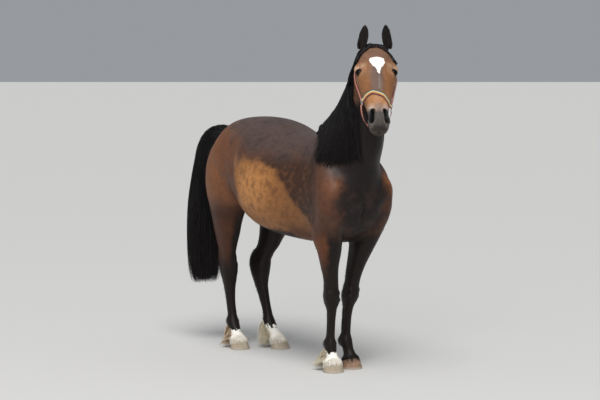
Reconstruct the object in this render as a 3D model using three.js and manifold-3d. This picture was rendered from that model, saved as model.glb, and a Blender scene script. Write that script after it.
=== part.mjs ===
import * as THREE from 'three';
import { mergeVertices } from 'three/addons/utils/BufferGeometryUtils.js';
import Module from 'manifold-3d';

// A bay pony of cob type, 1320 mm (13.0 hands) at the withers, standing square with its head up and
// turned to its right, wearing a head collar.
// Millimetres, +Z up. The pony faces -Y, its left side is +X and its soles stand on Z = 0.
// Flesh is made as rounded lofts through stations, joined into one body and parted again by thin cuts.

const wasm = await Module();
wasm.setup();

// ---------------------------------------------------------------- driving sizes
const cut = 0.6;               // width of the thin cuts that part the body
const clearance = 0.6;         // between hair or a strap and what it lies on
const strapThickness = 2.5;
const strapWidth = 20;

const headPitch = 38;          // slope of the face, degrees from upright
const headTurn = 30;           // degrees to the pony's right
const poll = new THREE.Vector3(-53, -790, 1742);

// ---------------------------------------------------------------- smooth sizes between stations
// Monotone cubic: a size runs smoothly through its stations and never overshoots them.
function tangents(at, value) {
  const last = at.length - 1;
  const rise = at.slice(1).map((a, i) => (value[i + 1] - value[i]) / (a - at[i]));
  return value.map((_, i) => {
    if (i === 0) return rise[0];
    if (i === last) return rise[last - 1];
    if (rise[i - 1] * rise[i] <= 0) return 0;
    const before = at[i] - at[i - 1];
    const after = at[i + 1] - at[i];
    const w1 = 2 * after + before;
    const w2 = after + 2 * before;
    return (w1 + w2) / (w1 / rise[i - 1] + w2 / rise[i]);
  });
}

// rows holds [at, size, size, ...]; the answer is a function from a place to its list of sizes.
function stations(rows) {
  const at = rows.map((row) => row[0]);
  const columns = rows[0].slice(1).map((_, c) => rows.map((row) => row[c + 1]));
  const slope = columns.map((column) => tangents(at, column));
  return (place) => {
    const found = at.findIndex((a, i) => i < at.length - 1 && place <= at[i + 1]);
    const i = found < 0 ? at.length - 2 : found;
    const width = at[i + 1] - at[i];
    const t = THREE.MathUtils.clamp((place - at[i]) / width, 0, 1);
    const start = (1 + 2 * t) * (1 - t) ** 2;
    const end = t * t * (3 - 2 * t);
    const leave = t * (1 - t) ** 2 * width;
    const arrive = t * t * (t - 1) * width;
    return columns.map((column, c) =>
      start * column[i] + end * column[i + 1] + leave * slope[c][i] + arrive * slope[c][i + 1]);
  };
}

// The place a share of the way along a list of stations, counted in stations, so that rows of
// faces gather where the stations do.
function placeAlong(rows, share) {
  const step = share * (rows.length - 1);
  const i = Math.min(Math.floor(step), rows.length - 2);
  return THREE.MathUtils.lerp(rows[i][0], rows[i + 1][0], step - i);
}

// How far a rounded section reaches up and sideways at an angle, each from -1 to 1. A fullness of 2
// is an ellipse, more is squarer and less is keener.
function rounded(angle, crown, keel) {
  const up = Math.cos(angle);
  const side = Math.sin(angle);
  const fullness = up >= 0 ? crown : keel;
  return [up, side].map((reach) => Math.sign(reach) * Math.abs(reach) ** (2 / fullness));
}

// A closed loft: pointAt(share, angle, reach) gives the surface, and reach 0 is a section's middle.
function loft(sides, rings, pointAt) {
  const geometry = new THREE.SphereGeometry(1, sides, rings + 1);
  const position = geometry.getAttribute('position');
  for (let row = 0; row <= rings + 1; row++) {
    const share = THREE.MathUtils.clamp((row - 1) / (rings - 1), 0, 1);
    const reach = row === 0 || row === rings + 1 ? 0 : 1;
    for (let column = 0; column <= sides; column++) {
      const angle = ((column % sides) / sides) * 2 * Math.PI;
      const p = pointAt(share, angle, reach);
      position.setXYZ(row * (sides + 1) + column, p.x, p.y, p.z);
    }
  }
  return geometry;
}

// ---------------------------------------------------------------- solids
function solid(geometry) {
  const bare = new THREE.BufferGeometry().setAttribute('position', geometry.getAttribute('position'));
  bare.setIndex(geometry.index);
  const merged = mergeVertices(bare, 1e-3);
  const corners = Array.from(merged.index.array);
  const faces = [];
  for (let i = 0; i < corners.length; i += 3) {
    const [a, b, c] = corners.slice(i, i + 3);
    if (a !== b && b !== c && a !== c) faces.push(a, b, c);
  }
  const make = (triangles) => new wasm.Manifold(new wasm.Mesh({
    numProp: 3,
    vertProperties: new Float32Array(merged.getAttribute('position').array),
    triVerts: new Uint32Array(triangles),
  }));
  const made = make(faces);
  return made.volume() > 0 ? made : make(faces.reverse());
}

function geometryOf(manifold) {
  const { numProp, vertProperties, triVerts } = manifold.getMesh();
  const places = new Float32Array((vertProperties.length / numProp) * 3);
  for (let i = 0; i < places.length / 3; i++)
    places.set(vertProperties.subarray(i * numProp, i * numProp + 3), i * 3);
  const geometry = new THREE.BufferGeometry().setAttribute('position', new THREE.BufferAttribute(places, 3));
  geometry.setIndex(new THREE.BufferAttribute(triVerts, 1));
  return geometry;
}

function largest(manifold) {
  return manifold.decompose().sort((a, b) => b.volume() - a.volume())[0];
}

const unite = (solids) => solids.reduce((all, next) => all.add(next));

// An outline drawn in the first two directions of a frame and carried from one depth to another
// along the third.
function prism(frame, outline, from, to) {
  const shape = new THREE.Shape(outline.map(([a, b]) => new THREE.Vector2(a, b)));
  const geometry = new THREE.ExtrudeGeometry(shape, { depth: to - from, bevelEnabled: false });
  return solid(geometry.translate(0, 0, from).applyMatrix4(frame));
}

const alongX = new THREE.Matrix4().makeBasis(
  new THREE.Vector3(0, 1, 0), new THREE.Vector3(0, 0, 1), new THREE.Vector3(1, 0, 0));
const alongY = new THREE.Matrix4().makeBasis(
  new THREE.Vector3(0, 0, 1), new THREE.Vector3(1, 0, 0), new THREE.Vector3(0, 1, 0));

// region(grow) is a block of space. The piece inside it is parted from the rest by a thin cut.
function takeOff(whole, region) {
  return [largest(whole.intersect(region(0))), largest(whole.subtract(region(cut)))];
}

// ---------------------------------------------------------------- trunk
// y, back line, belly line, half width, level of the widest point, fullness above and below it
const trunkRows = [
  [-640, 965, 905, 30, 938, 2.0, 2.0],
  [-632, 1000, 868, 88, 936, 2.0, 2.0],
  [-610, 1045, 815, 146, 936, 2.0, 2.0],
  [-565, 1100, 758, 190, 940, 2.0, 2.0],
  [-500, 1190, 712, 211, 945, 1.9, 2.0],
  [-440, 1268, 690, 212, 950, 1.7, 2.1],
  [-380, 1320, 682, 208, 955, 1.55, 2.1],
  [-310, 1318, 678, 211, 955, 1.5, 2.1],
  [-240, 1278, 675, 224, 955, 1.55, 2.1],
  [-160, 1259, 674, 246, 955, 1.75, 2.1],
  [-60, 1261, 679, 270, 955, 2.05, 2.2],
  [40, 1286, 686, 284, 955, 2.2, 2.2],
  [150, 1318, 700, 286, 965, 2.3, 2.2],
  [260, 1334, 730, 272, 990, 2.35, 2.15],
  [360, 1338, 775, 248, 1030, 2.35, 2.0],
  [450, 1334, 815, 236, 1065, 2.3, 2.0],
  [540, 1322, 840, 230, 1075, 2.25, 2.0],
  [615, 1294, 860, 212, 1070, 2.1, 2.0],
  [672, 1250, 885, 178, 1062, 2.0, 2.0],
  [715, 1198, 920, 130, 1055, 2.0, 2.0],
  [742, 1130, 985, 62, 1054, 2.0, 2.0],
];

function trunkSurface(grow = 0) {
  const size = stations(trunkRows);
  return loft(18, 20, (share, angle, reach) => {
    const y = placeAlong(trunkRows, share);
    const [top, bottom, half, level, crown, keel] = size(y);
    const [up, side] = rounded(angle, crown, keel);
    const height = up >= 0 ? top - level + grow : level - bottom + grow;
    const end = share === 0 ? -grow : share === 1 ? grow : 0;
    return new THREE.Vector3(side * (half + grow) * reach, y + end, level + up * height * reach);
  });
}

// ---------------------------------------------------------------- neck
// share of the way up, crest y and z, throat y and z, middle x, half width, turn, fullness at crest and throat
const neckRows = [
  [0.00, -190, 1256, -440, 850, 0, 142, 0, 1.6, 2.1],
  [0.16, -320, 1318, -592, 985, 0, 146, 0, 1.6, 2.1],
  [0.30, -416, 1390, -668, 1090, 0, 124, 0, 1.6, 2.1],
  [0.45, -512, 1484, -712, 1205, -3, 104, 2, 1.65, 2.1],
  [0.60, -598, 1588, -716, 1318, -8, 91, 6, 1.7, 2.1],
  [0.75, -672, 1668, -706, 1412, -16, 81, 13, 1.8, 2.1],
  [0.88, -737, 1720, -712, 1490, -26, 74, 21, 1.9, 2.1],
  [1.00, -798, 1738, -775, 1565, -45, 62, 30, 2.0, 2.1],
];

function neckSurface(grow = 0) {
  const size = stations(neckRows);
  return loft(16, 9, (share, angle, reach) => {
    const [crestY, crestZ, throatY, throatZ, x, half, turn, crown, keel] = size(share);
    const crest = new THREE.Vector3(0, crestY, crestZ);
    const throat = new THREE.Vector3(0, throatY, throatZ);
    const middle = crest.clone().lerp(throat, 0.5);
    const depth = crest.distanceTo(throat) / 2;
    const upward = crest.sub(throat).normalize();
    const yaw = THREE.MathUtils.degToRad(turn);
    const sideways = new THREE.Vector3(Math.cos(yaw), -Math.sin(yaw), 0);
    const [up, side] = rounded(angle, crown, keel);
    middle.x = x;
    return middle
      .addScaledVector(upward, up * (depth + grow) * reach)
      .addScaledVector(sideways, side * (half + grow) * reach);
  });
}

// ---------------------------------------------------------------- legs
// height, front y, back y, half width, middle x, fullness
const foreRows = [
  [1235, -415, -320, 26, 80, 2.0],
  [1150, -510, -285, 56, 122, 2.0],
  [1050, -586, -262, 74, 138, 2.0],
  [960, -624, -258, 80, 142, 2.0],
  [890, -622, -266, 80, 142, 2.0],
  [820, -600, -288, 79, 138, 2.0],
  [760, -572, -322, 73, 130, 2.1],
  [700, -546, -348, 65, 118, 2.1],
  [640, -516, -360, 56, 104, 2.1],
  [560, -476, -362, 46, 90, 2.1],
  [480, -452, -364, 39, 79, 2.2],
  [445, -446, -358, 39, 77, 2.4],
  [405, -447, -352, 43, 75, 2.5],
  [368, -441, -356, 39, 73, 2.4],
  [335, -430, -364, 28, 71, 2.2],
  [250, -424, -366, 22.5, 68, 2.2],
  [190, -424, -365, 23, 67, 2.2],
  [155, -433, -353, 31, 67, 2.1],
  [132, -437, -353, 33, 67, 2.1],
  [102, -445, -378, 28, 67, 2.1],
  [78, -458, -388, 32, 67, 2.1],
  [60, -468, -384, 46, 67, 2.1],
  [0, -492, -380, 57, 67, 2.1],
];

const hindRows = [
  [1230, 430, 670, 60, 95, 2.0],
  [1130, 410, 730, 90, 118, 2.0],
  [1050, 398, 748, 100, 130, 2.0],
  [960, 386, 742, 106, 136, 2.0],
  [890, 384, 722, 104, 139, 2.0],
  [840, 392, 702, 96, 141, 2.0],
  [780, 424, 686, 84, 140, 2.0],
  [720, 458, 678, 73, 135, 2.0],
  [650, 492, 678, 60, 126, 2.1],
  [590, 520, 685, 49, 117, 2.1],
  [548, 538, 694, 42, 110, 2.2],
  [508, 546, 699, 43, 105, 2.3],
  [468, 548, 697, 46, 101, 2.3],
  [430, 555, 688, 45, 98, 2.2],
  [390, 567, 674, 40, 95, 2.2],
  [345, 577, 662, 33, 93, 2.2],
  [260, 578, 642, 27, 91, 2.2],
  [190, 568, 630, 27, 89, 2.1],
  [155, 554, 636, 34, 88, 2.1],
  [130, 541, 632, 35, 88, 2.1],
  [100, 520, 600, 31, 88, 2.1],
  [78, 498, 580, 34, 88, 2.1],
  [60, 482, 572, 46, 88, 2.1],
  [0, 448, 556, 56, 88, 2.1],
];

// side is 1 on the left and -1 on the right. steps gives how far the limb is carried back at each
// height, and toeOut how far it is turned outwards below turnTop, in degrees.
const legs = {
  foreleg_right: {
    side: -1, rows: foreRows, toeOut: 8, turnTop: 720,
    steps: [[0, -4], [150, -6], [400, -26], [600, -10], [900, 0], [1300, 0]],
  },
  foreleg_left: {
    side: 1, rows: foreRows, toeOut: 14, turnTop: 720,
    steps: [[0, 39], [150, 46], [290, 38], [410, 18], [900, 0], [1300, 0]],
  },
  hindleg_right: {
    side: -1, rows: hindRows, toeOut: 5, turnTop: 860,
    steps: [[0, -10], [150, -4], [500, 0], [900, 0], [1300, 0]],
  },
  hindleg_left: {
    side: 1, rows: hindRows, toeOut: 13, turnTop: 860,
    steps: [[0, -122], [150, -114], [490, -38], [590, -82], [700, -80], [900, -30], [1300, 0]],
  },
};
const fetlockLevel = 150;

function legSurface({ side, rows, steps, toeOut, turnTop }, grow = 0) {
  const step = stations(steps);
  const rising = [...rows].reverse();
  const size = stations(rising);
  const [fetlockFront, fetlockBack, , fetlockX] = size(fetlockLevel);
  const about = new THREE.Vector3(fetlockX, (fetlockFront + fetlockBack) / 2, 0);
  return loft(10, rows.length, (share, angle, reach) => {
    const z = placeAlong(rising, share);
    const [front, back, half, x, fullness] = size(z);
    const [fore, out] = rounded(angle, fullness, fullness);
    const y = (front + back) / 2 - fore * ((back - front) / 2 + grow) * reach;
    const p = new THREE.Vector3(x + out * (half + grow) * reach, y, z);
    const turned = THREE.MathUtils.smoothstep(turnTop - z, 0, turnTop - 420);
    const turn = THREE.MathUtils.degToRad(toeOut) * turned;
    p.sub(about).applyAxisAngle(new THREE.Vector3(0, 0, 1), turn).add(about);
    p.y += step(z)[0];
    p.x *= side;
    return p;
  });
}

// ---------------------------------------------------------------- head
// The head has a frame of its own: origin at the poll, +Y down the line of the face towards the
// lips, +Z out of the face, +X to the pony's right.
// place down the face, face line, jaw line, half width, level of the widest point, fullness
const headRows = [
  [-28, -48, -118, 40, -84, 2.0, 2.0],
  [0, -14, -150, 64, -74, 2.0, 2.0],
  [42, 8, -192, 84, -62, 2.1, 1.9],
  [88, 19, -222, 96, -50, 2.2, 1.8],
  [135, 22, -236, 103, -42, 2.2, 1.7],
  [178, 20, -234, 103, -42, 2.2, 1.7],
  [220, 12, -212, 95, -52, 2.2, 1.7],
  [272, 4, -172, 82, -58, 2.2, 1.8],
  [324, -3, -138, 71, -60, 2.1, 2.0],
  [378, -5, -116, 57, -56, 2.1, 2.2],
  [422, -4, -106, 52, -52, 2.2, 2.3],
  [460, -5, -110, 55, -54, 2.3, 2.3],
  [490, -14, -112, 52, -60, 2.2, 2.2],
  [509, -32, -102, 38, -66, 2.1, 2.1],
  [518, -48, -88, 20, -68, 2.0, 2.0],
];

function ellipsoid([x, y, z], [rx, ry, rz], grow = 0, around = 8, up = 6) {
  const ball = new THREE.SphereGeometry(1, around, up).rotateX(Math.PI / 2);
  return ball.scale(rx + grow, ry + grow, rz + grow).translate(x, y, z);
}

function headSurface(grow) {
  const size = stations(headRows);
  return loft(16, 14, (share, angle, reach) => {
    const y = placeAlong(headRows, share);
    const [face, jaw, half, level, crown, keel] = size(y);
    const [up, side] = rounded(angle, crown, keel);
    const height = up >= 0 ? face - level + grow : level - jaw + grow;
    const end = share === 0 ? -grow : share === 1 ? grow : 0;
    return new THREE.Vector3(side * (half + grow) * reach, y + end, level + up * height * reach);
  });
}

const slope = THREE.MathUtils.degToRad(headPitch);
const headFrame = new THREE.Matrix4()
  .makeTranslation(poll.x, poll.y, poll.z)
  .multiply(new THREE.Matrix4().makeRotationZ(THREE.MathUtils.degToRad(-headTurn)))
  .multiply(new THREE.Matrix4().makeBasis(
    new THREE.Vector3(-1, 0, 0),
    new THREE.Vector3(0, -Math.sin(slope), -Math.cos(slope)),
    new THREE.Vector3(0, -Math.cos(slope), Math.sin(slope))));
const headSide = headFrame.clone().multiply(alongX);

const eye = { x: 88, y: 167, z: -23, radius: 19 };

function headFlesh(grow = 0) {
  const parts = [
    headSurface(grow),
    ellipsoid([0, 162, -138], [78, 90, 90], grow),
    ellipsoid([0, 476, -106], [27, 22, 16], grow),
  ];
  [-1, 1].forEach((side) => {
    parts.push(ellipsoid([side * 86, 144, -22], [31, 34, 27], grow));
    parts.push(ellipsoid([side * 34, 464, -40], [22, 25, 28], grow));
  });
  return unite(parts.map((geometry) => solid(geometry.applyMatrix4(headFrame))));
}

function eyeball(side, grow = 0) {
  const reach = [eye.radius, eye.radius, eye.radius];
  return solid(ellipsoid([side * eye.x, eye.y, eye.z], reach, grow, 10, 7).applyMatrix4(headFrame));
}

// ---------------------------------------------------------------- ears
// share of the way up, half width, half thickness, how far forward of a straight line
const earRows = [
  [0.00, 20, 17, 0],
  [0.15, 26, 18, 0],
  [0.40, 30, 16, 2],
  [0.62, 28, 12, 5],
  [0.80, 21, 9, 9],
  [0.93, 12, 6, 13],
  [1.00, 5, 4, 16],
];
const earLength = 140;

// Each ear stands on the side of the poll, leans in a little and opens forwards and outwards.
function earFrame(side) {
  return headFrame.clone()
    .multiply(new THREE.Matrix4().makeTranslation(side * 73, 16, -36))
    .multiply(new THREE.Matrix4().makeRotationX(Math.PI / 2 - slope - THREE.MathUtils.degToRad(10)))
    .multiply(new THREE.Matrix4().makeRotationY(THREE.MathUtils.degToRad(-12 * side)))
    .multiply(new THREE.Matrix4().makeRotationZ(THREE.MathUtils.degToRad(-20 * side)));
}

function earSurface(side, { inset = 0, grow = 0, forward = 0 }) {
  const size = stations(earRows);
  const geometry = loft(8, 6, (share, angle, reach) => {
    const [half, deep, lean] = size(share);
    const x = Math.sin(angle) * Math.max(half - inset + grow, 0.6) * reach;
    const y = Math.cos(angle) * Math.max(deep - inset + grow, 0.6) * reach + lean + forward;
    return new THREE.Vector3(x, y, share * (earLength - inset * 2) + inset + (share - 0.5) * 2 * grow);
  });
  return solid(geometry.applyMatrix4(earFrame(side)));
}

function earFlesh(side) {
  const cup = earSurface(side, { inset: 5.5, forward: 13 });
  return largest(earSurface(side, {}).subtract(cup).subtract(fleshAt(cut / 2)));
}

// ---------------------------------------------------------------- the flesh, and its parts
const made = new Map();

// The whole flesh, grown outwards by an amount. Each size is made once.
function fleshAt(grow) {
  if (!made.has(grow)) {
    const surfaces = [trunkSurface(grow), neckSurface(grow)];
    Object.values(legs).forEach((leg) => surfaces.push(legSurface(leg, grow)));
    made.set(grow, unite([headFlesh(grow), ...surfaces.map(solid)]));
  }
  return made.get(grow);
}

const headRegion = (grow) => prism(headSide, [
  [-92 - grow, 110], [150 - grow, -244 - grow], [212, -243 - grow], [262, -232 - grow],
  [330, -196 - grow], [700, -160 - grow], [700, 110],
], -200, 200);

const neckRegion = (grow) => prism(alongX, [
  [-190 + grow, 1435], [-760 + grow, 920], [-1400, 920], [-1400, 2000], [-190 + grow, 2000],
], -300, 300);

function foreRegion(side, grow) {
  const level = [[-20, 4], [650 + grow, 4], [797 + grow, 300], [-20, 300]];
  return prism(alongY, level.map(([z, x]) => [z, x * side]), -800, -150);
}

function hindRegion(side, grow) {
  const across = [[-20, 4], [762 + grow, 4], [850 + grow, 300], [-20, 300]];
  const along = [[240, -20], [240, 590], [384 - grow, 735], [384 - grow, 900], [900, 900], [900, -20]];
  const behind = prism(alongX, along, -300, 300);
  return behind.intersect(prism(alongY, across.map(([z, x]) => [z, x * side]), 100, 900));
}

// The coronet slopes down from the front of the foot to the heel.
function hoofRegion({ side, rows, steps, toeOut }, grow) {
  const sole = rows[rows.length - 1];
  const turn = THREE.MathUtils.degToRad(toeOut * side);
  const middle = new THREE.Matrix4()
    .makeTranslation(sole[4] * side, (sole[1] + sole[2]) / 2 + steps[0][1], 0)
    .multiply(new THREE.Matrix4().makeRotationZ(turn))
    .multiply(alongX);
  return prism(middle, [[-200, -20], [-200, 140 + grow], [160, 5 + grow], [160, -20]], -150, 150);
}

const pieces = {};
let body = fleshAt(0).subtract(eyeball(1, cut / 2)).subtract(eyeball(-1, cut / 2));
[pieces.head, body] = takeOff(body, headRegion);
[pieces.neck, body] = takeOff(body, neckRegion);
Object.entries(legs).forEach(([name, leg]) => {
  const region = leg.rows === foreRows ? foreRegion : hindRegion;
  let limb;
  [limb, body] = takeOff(body, (grow) => region(leg.side, grow));
  [pieces[name.replace('leg', 'hoof')], pieces[name]] = takeOff(limb, (grow) => hoofRegion(leg, grow));
});
pieces.trunk = body;
pieces.ear_right = earFlesh(1);
pieces.ear_left = earFlesh(-1);
pieces.eye_right = eyeball(1);
pieces.eye_left = eyeball(-1);

// ---------------------------------------------------------------- head collar
const strapTop = clearance + strapThickness;
const tilted = (x, y, z, aboutX, aboutZ) => headFrame.clone()
  .multiply(new THREE.Matrix4().makeTranslation(x, y, z))
  .multiply(new THREE.Matrix4().makeRotationZ(THREE.MathUtils.degToRad(aboutZ)))
  .multiply(new THREE.Matrix4().makeRotationX(THREE.MathUtils.degToRad(aboutX)));

// The space a strap runs through, as wide as the strap: a slab across the head.
function slab(frame, size, grow = 0) {
  return solid(new THREE.BoxGeometry(...size.map((length) => length + 2 * grow)).applyMatrix4(frame));
}

const rings = {
  ring_right: { x: 78, y: 320, z: -68 },
  ring_left: { x: -69, y: 364, z: -68 },
};
function ring({ x, y, z }, grow = 0) {
  const torus = new THREE.TorusGeometry(15, 2.6 + grow, 5, 12).rotateY(Math.PI / 2);
  return solid(torus.rotateZ(Math.sign(x) * 0.2).translate(x, y, z).applyMatrix4(headFrame));
}
Object.entries(rings).forEach(([name, place]) => {
  pieces[name] = ring(place);
});
const ringRoom = unite(Object.values(rings).map((place) => ring(place, 0.5)));
const strapPiece = (band, side) => largest(band.intersect(side).subtract(ringRoom));
const besides = (low, high) => prism(headSide, [[-300, low], [700, low], [700, high], [-300, high]], -200, 200);

// The noseband slopes from the bridge of the nose to the back of the jaw and sits a little askew. It is
// pulled taut, so it spans the hollows of the face.
const noseFrame = tilted(0, 305, 5, 36, -18);
const noseSize = [400, strapWidth, 600];
const around = headFlesh(strapTop).intersect(slab(noseFrame, noseSize)).hull();
const within = headFlesh(clearance).intersect(slab(noseFrame, noseSize, 2)).hull();
const noseLoop = around.subtract(within).intersect(slab(noseFrame, noseSize));
pieces.noseband = strapPiece(noseLoop, besides(-64, 100));
pieces.chin_strap = strapPiece(noseLoop, besides(-300, -68));

// Cheek straps run up from the rings, behind the eyes, to a crown strap behind the ears.
const skinDeep = fleshAt(strapTop).subtract(fleshAt(clearance));
const crownFrame = tilted(0, 120, -80, 4, 0);
const crownSize = [400, 520, 20];
const crownLoop = skinDeep.intersect(slab(crownFrame, crownSize))
  .subtract(slab(noseFrame, noseSize, clearance));
const cheek = (side, end) =>
  prism(headFrame, [[0, 42], [200 * side, 42], [200 * side, end], [0, end]], -200, 100);
pieces.cheek_strap_right = strapPiece(crownLoop, cheek(1, 336));
pieces.cheek_strap_left = strapPiece(crownLoop, cheek(-1, 380));
const behindEars = prism(headFrame, [[-200, 41], [200, 41], [200, -200], [-200, -200]], -200, 100);
pieces.crown_strap = largest(crownLoop.intersect(behindEars));

// The throat strap leaves the cheek straps and passes behind the jaw.
const throatFrame = tilted(0, 140, -170, 31, 0);
const throatLoop = skinDeep.intersect(slab(throatFrame, [400, 20, 600]));
pieces.throat_strap = largest(throatLoop.intersect(besides(-330, -96)));
const strapRoom = fleshAt(strapTop + clearance).intersect(slab(crownFrame, crownSize, clearance));

// ---------------------------------------------------------------- mane and forelock
// The mane is drawn from the side: it stands on the crest and falls down the right of the neck.
const maneDepth = 28;
const maneOutline = [
  [-800, 1756], [-748, 1750], [-668, 1702], [-600, 1665], [-500, 1590], [-410, 1490], [-315, 1405],
  [-250, 1350], [-288, 1300], [-345, 1247], [-405, 1180], [-462, 1108], [-530, 1096], [-600, 1102], [-690, 1120],
  [-705, 1200], [-702, 1300], [-698, 1400], [-705, 1500], [-738, 1600], [-775, 1690],
];
const besideHead = [[-18, 200], [-18, -80], [70, -150], [165, -262], [700, -262], [700, 200]];
const earRoom = unite([1, -1].map((side) => earSurface(side, { grow: 1 })));
pieces.mane = largest(fleshAt(maneDepth)
  .intersect(prism(alongX, maneOutline, -320, 12))
  .subtract(prism(headSide, besideHead, -200, 200))
  .subtract(fleshAt(clearance))
  .subtract(strapRoom)
  .subtract(earRoom));

// The forelock comes forward between the ears and parts, one half down each side of the brow.
const forelockDepth = 12;
const forelockOutline = [
  [-102, 116], [-84, 74], [-42, 42], [0, 32], [42, 42], [84, 74], [102, 116],
  [122, 112], [104, 56], [60, 2], [34, -14], [-34, -14], [-60, 2], [-104, 56], [-122, 112],
];
pieces.forelock = largest(headFlesh(forelockDepth)
  .intersect(prism(headFrame, forelockOutline, -62, 80))
  .subtract(fleshAt(clearance))
  .subtract(strapRoom)
  .subtract(earRoom));

// ---------------------------------------------------------------- tail
// station, x, y, z, half width, half depth
const tailRows = [
  [0, 0, 690, 1190, 26, 26],
  [1, -2, 735, 1222, 34, 32],
  [2, -28, 790, 1229, 46, 44],
  [3, -60, 832, 1204, 57, 54],
  [4, -82, 858, 1140, 66, 60],
  [5, -92, 866, 1050, 72, 64],
  [6, -102, 872, 930, 82, 70],
  [7, -108, 876, 790, 92, 76],
  [8, -110, 880, 650, 94, 79],
  [9, -109, 882, 520, 91, 79],
  [10, -106, 882, 420, 86, 75],
  [11, -104, 880, 346, 72, 64],
];
function tailSurface() {
  const size = stations(tailRows);
  const last = tailRows.length - 1;
  return loft(12, 13, (share, angle, reach) => {
    const place = share * last;
    const [x, y, z, across, along] = size(place);
    const before = size(Math.max(place - 0.1, 0));
    const after = size(Math.min(place + 0.1, last));
    const way = new THREE.Vector3(...after).sub(new THREE.Vector3(...before)).normalize();
    const sideways = new THREE.Vector3(1, 0, 0).addScaledVector(way, -way.x).normalize();
    const outward = way.clone().cross(sideways);
    return new THREE.Vector3(x, y, z)
      .addScaledVector(sideways, Math.sin(angle) * across * reach)
      .addScaledVector(outward, Math.cos(angle) * along * reach);
  });
}
pieces.tail = largest(solid(tailSurface()).subtract(fleshAt(clearance)));

// ---------------------------------------------------------------- feathers
// Tufts of long hair behind the pasterns, kept clear of the ground.
const feathers = {
  feather_fore_right: legs.foreleg_right,
  feather_hind_right: legs.hindleg_right,
  feather_hind_left: legs.hindleg_left,
};
Object.entries(feathers).forEach(([name, { side, rows, steps, toeOut }]) => {
  const sole = rows[rows.length - 1];
  const heel = new THREE.Matrix4()
    .makeTranslation(sole[4] * side, (sole[1] + sole[2]) / 2 + steps[0][1], 0)
    .multiply(new THREE.Matrix4().makeRotationZ(THREE.MathUtils.degToRad(toeOut * side)));
  const tuft = ellipsoid([0, 82, 67], [50, 50, 61], 0, 8, 6).applyMatrix4(heel);
  pieces[name] = largest(solid(tuft).subtract(fleshAt(clearance)));
});

// ---------------------------------------------------------------- colours
const coat = { color: 0x4a2c1a, roughness: 0.55 };
const black = { color: 0x14110f, roughness: 0.6 };
const horn = { color: 0x8a7a66, roughness: 0.7 };
const hair = { color: 0x0e0c0b, roughness: 0.5 };
const paleHair = { color: 0xb8a68c, roughness: 0.8 };
const webbing = { color: 0xc8503a, roughness: 0.85 };
const metal = { color: 0xb8b4aa, roughness: 0.3, metalness: 1 };
const finishes = [
  [/^(trunk|head)$/, coat],
  [/^(neck|foreleg|hindleg|ear)/, black],
  [/hoof/, horn],
  [/^eye/, { color: 0x0c0806, roughness: 0.08 }],
  [/^(mane|forelock|tail)/, hair],
  [/^feather/, paleHair],
  [/^noseband/, { color: 0xe0b050, roughness: 0.85 }],
  [/strap/, webbing],
  [/^ring/, metal],
];

const pony = new THREE.Group();
Object.entries(pieces).forEach(([name, piece]) => {
  const finish = finishes.find(([pattern]) => pattern.test(name))[1];
  const mesh = new THREE.Mesh(geometryOf(piece), new THREE.MeshStandardMaterial({ metalness: 0, ...finish }));
  mesh.name = name;
  pony.add(mesh);
});

// The pony is moved so that the middle of its outline, seen from above, is at the origin.
const middle = new THREE.Box3().setFromObject(pony).getCenter(new THREE.Vector3());
pony.children.forEach((mesh) => mesh.geometry.translate(-middle.x, -middle.y, 0));
export default pony;
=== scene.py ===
import math

import bmesh
import bpy
import numpy as np
from mathutils import Matrix, Vector, noise
from mathutils.bvhtree import BVHTree
from mathutils.geometry import convex_hull_2d


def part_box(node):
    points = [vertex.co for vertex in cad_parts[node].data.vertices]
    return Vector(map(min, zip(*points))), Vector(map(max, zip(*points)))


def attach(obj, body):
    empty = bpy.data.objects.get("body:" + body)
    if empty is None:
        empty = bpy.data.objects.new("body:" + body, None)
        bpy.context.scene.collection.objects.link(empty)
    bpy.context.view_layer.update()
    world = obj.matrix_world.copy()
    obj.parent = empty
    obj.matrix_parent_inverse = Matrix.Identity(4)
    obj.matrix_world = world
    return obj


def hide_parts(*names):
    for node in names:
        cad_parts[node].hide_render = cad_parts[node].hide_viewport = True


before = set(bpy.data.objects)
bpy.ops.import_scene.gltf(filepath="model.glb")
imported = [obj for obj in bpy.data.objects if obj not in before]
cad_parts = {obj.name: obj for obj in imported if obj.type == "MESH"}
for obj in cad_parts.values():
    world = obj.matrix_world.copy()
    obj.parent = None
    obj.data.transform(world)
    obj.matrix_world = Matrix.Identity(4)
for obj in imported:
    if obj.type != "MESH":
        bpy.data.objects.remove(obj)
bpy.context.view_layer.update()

# ------------------------------------------------------------------ hide
# The hide: one closed skin over trunk, neck, head, ears and all four limbs, drawn in millimetres
# facing -Y as the solids are. It is fused from rounded forms, then modelled with muscle, bone,
# tendon, lids, nostrils and lips, and lies under the solids by the depth of a short summer coat.
mm = 0.001
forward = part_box("trunk")[0].y + 640 * mm
coat_depth = 1.5
rng = np.random.default_rng(11)


def tangents(at, value):
    step = np.diff(at)[:, None]
    rise = np.diff(value, axis=0) / step
    slope = np.vstack([rise[:1], rise])
    first, second = 2 * step[1:] + step[:-1], step[1:] + 2 * step[:-1]
    with np.errstate(divide="ignore", invalid="ignore"):
        inner = (first + second) / (first / rise[:-1] + second / rise[1:])
    slope[1:-1] = np.where(rise[:-1] * rise[1:] > 0, inner, 0)
    return slope


def stations(rows):
    """Sizes that run smoothly through their stations and never overshoot them."""
    rows = np.array(rows, float)
    at, value = rows[:, 0], rows[:, 1:]
    slope = tangents(at, value)

    def size(place):
        place = np.atleast_1d(np.asarray(place, float))
        i = np.clip(np.searchsorted(at, place, side="left") - 1, 0, len(at) - 2)
        width = (at[i + 1] - at[i])[:, None]
        t = np.clip((place - at[i])[:, None] / width, 0, 1)
        return ((1 + 2 * t) * (1 - t) ** 2 * value[i] + t * t * (3 - 2 * t) * value[i + 1]
                + t * (1 - t) ** 2 * width * slope[i] + t * t * (t - 1) * width * slope[i + 1]).T
    return size


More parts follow.
